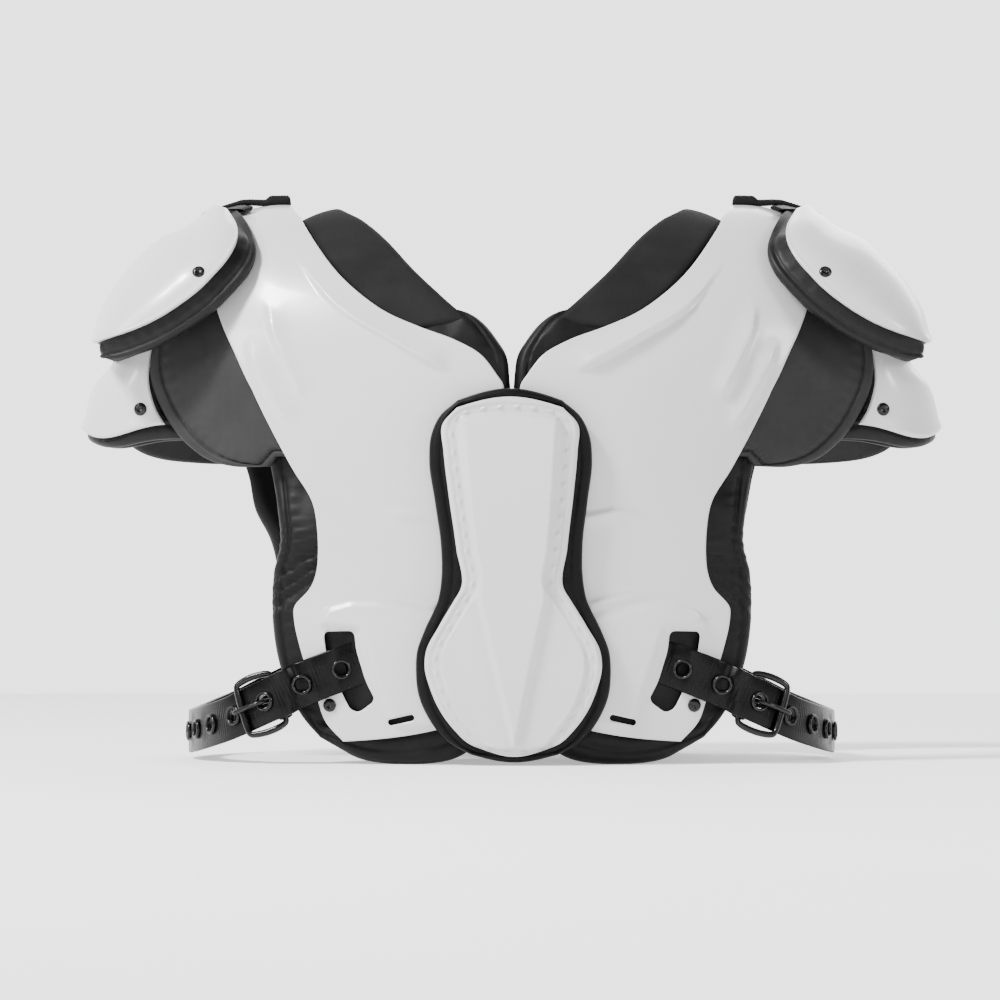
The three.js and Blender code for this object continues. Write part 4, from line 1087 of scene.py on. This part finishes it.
def woven(name, low, high, roughness, shine, crease=0.0008):
    made = Finish(name, grey(high), roughness, Specular_IOR_Level=shine)
    weave = made.math("MULTIPLY", made.wave("X", WEAVE_PITCH), made.wave("Z", WEAVE_PITCH))
    cloud = made.math("MULTIPLY", made.noise(35, 5), 0.6)
    made.tone(made.math("ADD", made.math("MULTIPLY", weave, 0.5), cloud), grey(low), grey(high))
    made.gloss(made.noise(90, 3), roughness - 0.06, roughness + 0.1)
    made.bump(made.noise(70, 4), crease, 0.5)
    made.bump(weave, 0.00012, 0.3)
    return made.made


def knit():
    made = Finish("collar_knit", grey(0.015), 0.85, Specular_IOR_Level=0.1)
    loops = made.math("MULTIPLY", made.wave("X", 0.0016, 1.5), made.wave("Z", 0.0011, 1.0))
    cloud = made.math("MULTIPLY", made.noise(25, 4), 0.7)
    made.tone(made.math("ADD", made.math("MULTIPLY", loops, 0.15), cloud), grey(0.009), grey(0.017))
    made.bump(made.noise(40, 4), 0.0012, 0.4)
    made.bump(loops, 0.0001, 0.2)
    return made.made


def coated_strap():
    made = Finish("belt_vinyl", grey(0.002), 0.3, Specular_IOR_Level=0.14)
    made.tone(made.noise(60, 4), grey(0.001), grey(0.003))
    made.gloss(made.noise(120, 4), 0.2, 0.36)
    made.bump(made.noise(900, 3), 0.0001, 0.5)
    return made.made


def webbing_cloth():
    made = Finish("webbing_cloth", grey(0.008), 0.75, Specular_IOR_Level=0.15)
    ribs = made.math("MULTIPLY", made.wave("Y", 0.0018), made.wave("X", 0.0014))
    made.tone(ribs, grey(0.004), grey(0.01))
    made.bump(ribs, 0.0003, 0.5)
    return made.made


def enamel():
    made = Finish("dark_metal", grey(0.003), 0.2, Specular_IOR_Level=0.3)
    made.tone(made.noise(80, 3), grey(0.003), grey(0.007))
    made.gloss(made.noise(200, 3), 0.14, 0.26)
    made.bump(made.noise(500, 2), 0.00005, 0.4)
    return made.made


def floor_finish():
    glow = dict(Emission_Color=(1, 1, 1, 1), Emission_Strength=0.4)
    made = Finish("floor", grey(0.9), 0.7, Specular_IOR_Level=0.2, **glow)
    made.tone(made.noise(3, 2), grey(0.9), grey(0.92))
    return made.made


# Assembly

BELT_OPENING = named("s z", (
    (662, 233), (553, 234.5), (546, 200), (512, 145), (483, 117), (490, 108.5), (537, 91), (568, 97),
    (593, 121), (651, 192.5),
))
OPENING_ROUND = 4.5
SHARP_ANGLE = 35
SLOT = dict(s=0.388, z=0.0785, length=19, height=4.4, tilt=13)


def slot_outline():
    radius = SLOT["height"] / 2
    angles = np.linspace(-math.pi / 2, math.pi / 2, 9)
    end = np.stack([SLOT["length"] / 2 - radius + radius * np.cos(angles), radius * np.sin(angles)], -1)
    turn = -math.radians(SLOT["tilt"])
    spin = [[math.cos(turn), math.sin(turn)], [-math.sin(turn), math.cos(turn)]]
    return np.vstack([end, -end]) @ spin + [SLOT["s"] * BODY_REACH, SLOT["z"] * STAND_HEIGHT]


def opened(plate):
    belt_hole = rounded([(p["s"] * BODY_REACH, p["z"] * STAND_HEIGHT) for p in BELT_OPENING], OPENING_ROUND)
    return cut(plate, [prism(hole, face) for hole in (belt_hole, slot_outline()) for face in (FRONT, BACK)])


def finished(piece, name, nodes, look):
    """Names a piece that stands for CAD nodes and gives it the finish from a look, which pairs a slot name
    with a finish.
    """
    slot, finish = look
    piece.name = piece.data.name = name
    piece.data.materials.clear()
    piece.data.materials.append(finish)
    piece.data.shade_smooth()
    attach(piece, "root")
    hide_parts(*nodes)


def both_sides(piece, stem, node, look):
    """A left piece and its mirror image, which stand for a CAD node on either side."""
    for side, half in (("left", piece), ("right", mirrored(piece))):
        finished(half, f"{stem}_{side}", [f"{node}_{side}"], look)


def sharp(piece):
    piece.data.set_sharp_from_angle(angle=math.radians(SHARP_ANGLE))
    return piece


def build():
    fabric = "pad_fabric"
    white = "white_shell", white_shell()
    satin = fabric, woven("pad_satin", 0.003, 0.008, 0.46, shine=0.14)
    flap_cloth = fabric, woven("flap_satin", 0.02, 0.032, 0.6, shine=0.12, crease=0.0005)
    rim_cloth = fabric, woven("rim_satin", 0.005, 0.012, 0.46, shine=0.18)
    centre_cloth = fabric, woven("centre_satin", 0.0015, 0.004, 0.42, shine=0.12)
    collar_cloth = "collar_knit", knit()
    strap = "belt_vinyl", coated_strap()
    metal = "dark_metal", enamel()

    both_sides(opened(arch_plate()), "plate_shell", "arch_plate", white)
    both_sides(collar(), "collar_pad", "neck_collar", collar_cloth)
    both_sides(flap(FRONT), "front_flap_pad", "front_flap", flap_cloth)
    both_sides(flap(BACK), "back_flap_pad", "back_flap", flap_cloth)
    both_sides(shell(CAP_ROWS), "cap_shell", "shoulder_cap", white)
    both_sides(shell(CUP_ROWS), "cup_shell", "arm_cup", white)
    both_sides(cap_pad(), "cap_lining", "cap_pad", rim_cloth)
    both_sides(cup_pad(), "cup_lining", "cup_pad", rim_cloth)
    both_sides(webbing(), "crown_strap", "crown_webbing", (fabric, webbing_cloth()))

    finished(liner(1), "liner_pad_left", ["body_liner_left"], satin)
    spare = liner(-1)
    finished(mirrored(spare), "liner_pad_right", ["body_liner_right"], satin)
    bpy.data.objects.remove(spare)

    pad = centre_pad(STERNUM_PAD_ROWS, FRONT, STERNUM_LEAN)
    finished(pad, "breast_pad", ["sternum_pad"], centre_cloth)
    finished(centre_pad(BACK_PAD_ROWS, BACK, 0), "spine_pad", ["back_pad"], centre_cloth)
    plate = centre_plate(STERNUM_PLATE_ROWS, FRONT, 0, STERNUM_LEAN)
    finished(plate, "breast_plate", ["sternum_plate"], white)
    plate = centre_plate(BACK_PAD_ROWS, BACK, BACK_PLATE_INSET, 0)
    finished(plate, "spine_plate", ["back_plate"], white)

    line = Line()
    both_sides(sharp(belt(line)), "belt", "side_belt", strap)
    both_sides(sharp(buckle_strap(line)), "buckle_loop", "buckle_strap", strap)
    both_sides(smooth_copy("buckle_frame_left", FRAME_SWELL), "buckle", "buckle_frame", metal)
    both_sides(smooth_copy("buckle_prong_left", PRONG_SWELL), "prong", "buckle_prong", metal)
    for k in range(1, EYELET_COUNT + 1):
        both_sides(eyelet(f"eyelet_{k}_left"), f"grommet_{k}", f"eyelet_{k}", metal)
    for stem in ("cap_rivet_front", "cap_rivet_top", "cup_rivet", "plate_rivet"):
        both_sides(rivet(f"{stem}_left"), f"{stem}_head", stem, metal)


# Camera, lights and floor, in metres

CAMERA_PLACE = (-0.0084, -5.14, 0.1855)
CAMERA_LENS = 257.14
# The surround is paler behind the object than in front of it, so the black cloth stays black.
WORLD_RANGE = {"From Min": 0.15, "From Max": 0.9, "To Min": 0.32, "To Max": 2.8}
# Name, place, size and power of each lamp.
LIGHTS = [
    ("key_light", (-1.9, -1.35, 2.7), 0.6, 235),
    ("left_light", (-2.7, -1.7, 1.4), 0.8, 45),
    ("right_light", (2.7, -1.7, 1.4), 0.8, 45),
    ("front_light", (0.4, -3.2, 0.9), 1.6, 22),
    ("back_light", (0.6, 2.4, 1.4), 1.4, 25),
]
LIGHT_TARGET = Vector((0, 0, 0.2))
# The floor stops behind the object where its tone still meets the surround's.
FLOOR_CORNERS = [(-12, -8, 0), (12, -8, 0), (12, 1.7, 0), (-12, 1.7, 0)]


def studio():
    camera = placed("camera", bpy.data.cameras.new("camera"))
    camera.location = CAMERA_PLACE
    camera.rotation_euler = (math.pi / 2, 0, 0)
    camera.data.sensor_width = 36
    camera.data.lens = CAMERA_LENS
    bpy.context.scene.camera = camera
    world = bpy.data.worlds.new("studio")
    world.use_nodes = True
    nodes, links = world.node_tree.nodes, world.node_tree.links
    split = nodes.new("ShaderNodeSeparateXYZ")
    links.new(nodes.new("ShaderNodeTexCoord").outputs["Generated"], split.inputs[0])
    depth = nodes.new("ShaderNodeMapRange")
    for key, value in WORLD_RANGE.items():
        depth.inputs[key].default_value = value
    links.new(split.outputs["Y"], depth.inputs["Value"])
    nodes["Background"].inputs["Color"].default_value = (1, 1, 1, 1)
    links.new(depth.outputs["Result"], nodes["Background"].inputs["Strength"])
    bpy.context.scene.world = world
    for name, place, size, power in LIGHTS:
        lamp = placed(name, bpy.data.lights.new(name, "AREA"))
        lamp.data.shape = "SQUARE"
        lamp.data.size = size
        lamp.data.energy = power
        lamp.location = place
        lamp.rotation_euler = (LIGHT_TARGET - Vector(place)).to_track_quat("-Z", "Y").to_euler()
    mesh = bpy.data.meshes.new("floor")
    mesh.from_pydata(FLOOR_CORNERS, [], [(0, 1, 2, 3)])
    floor = placed("floor", mesh)
    floor.data.materials.append(floor_finish())


build()
studio()
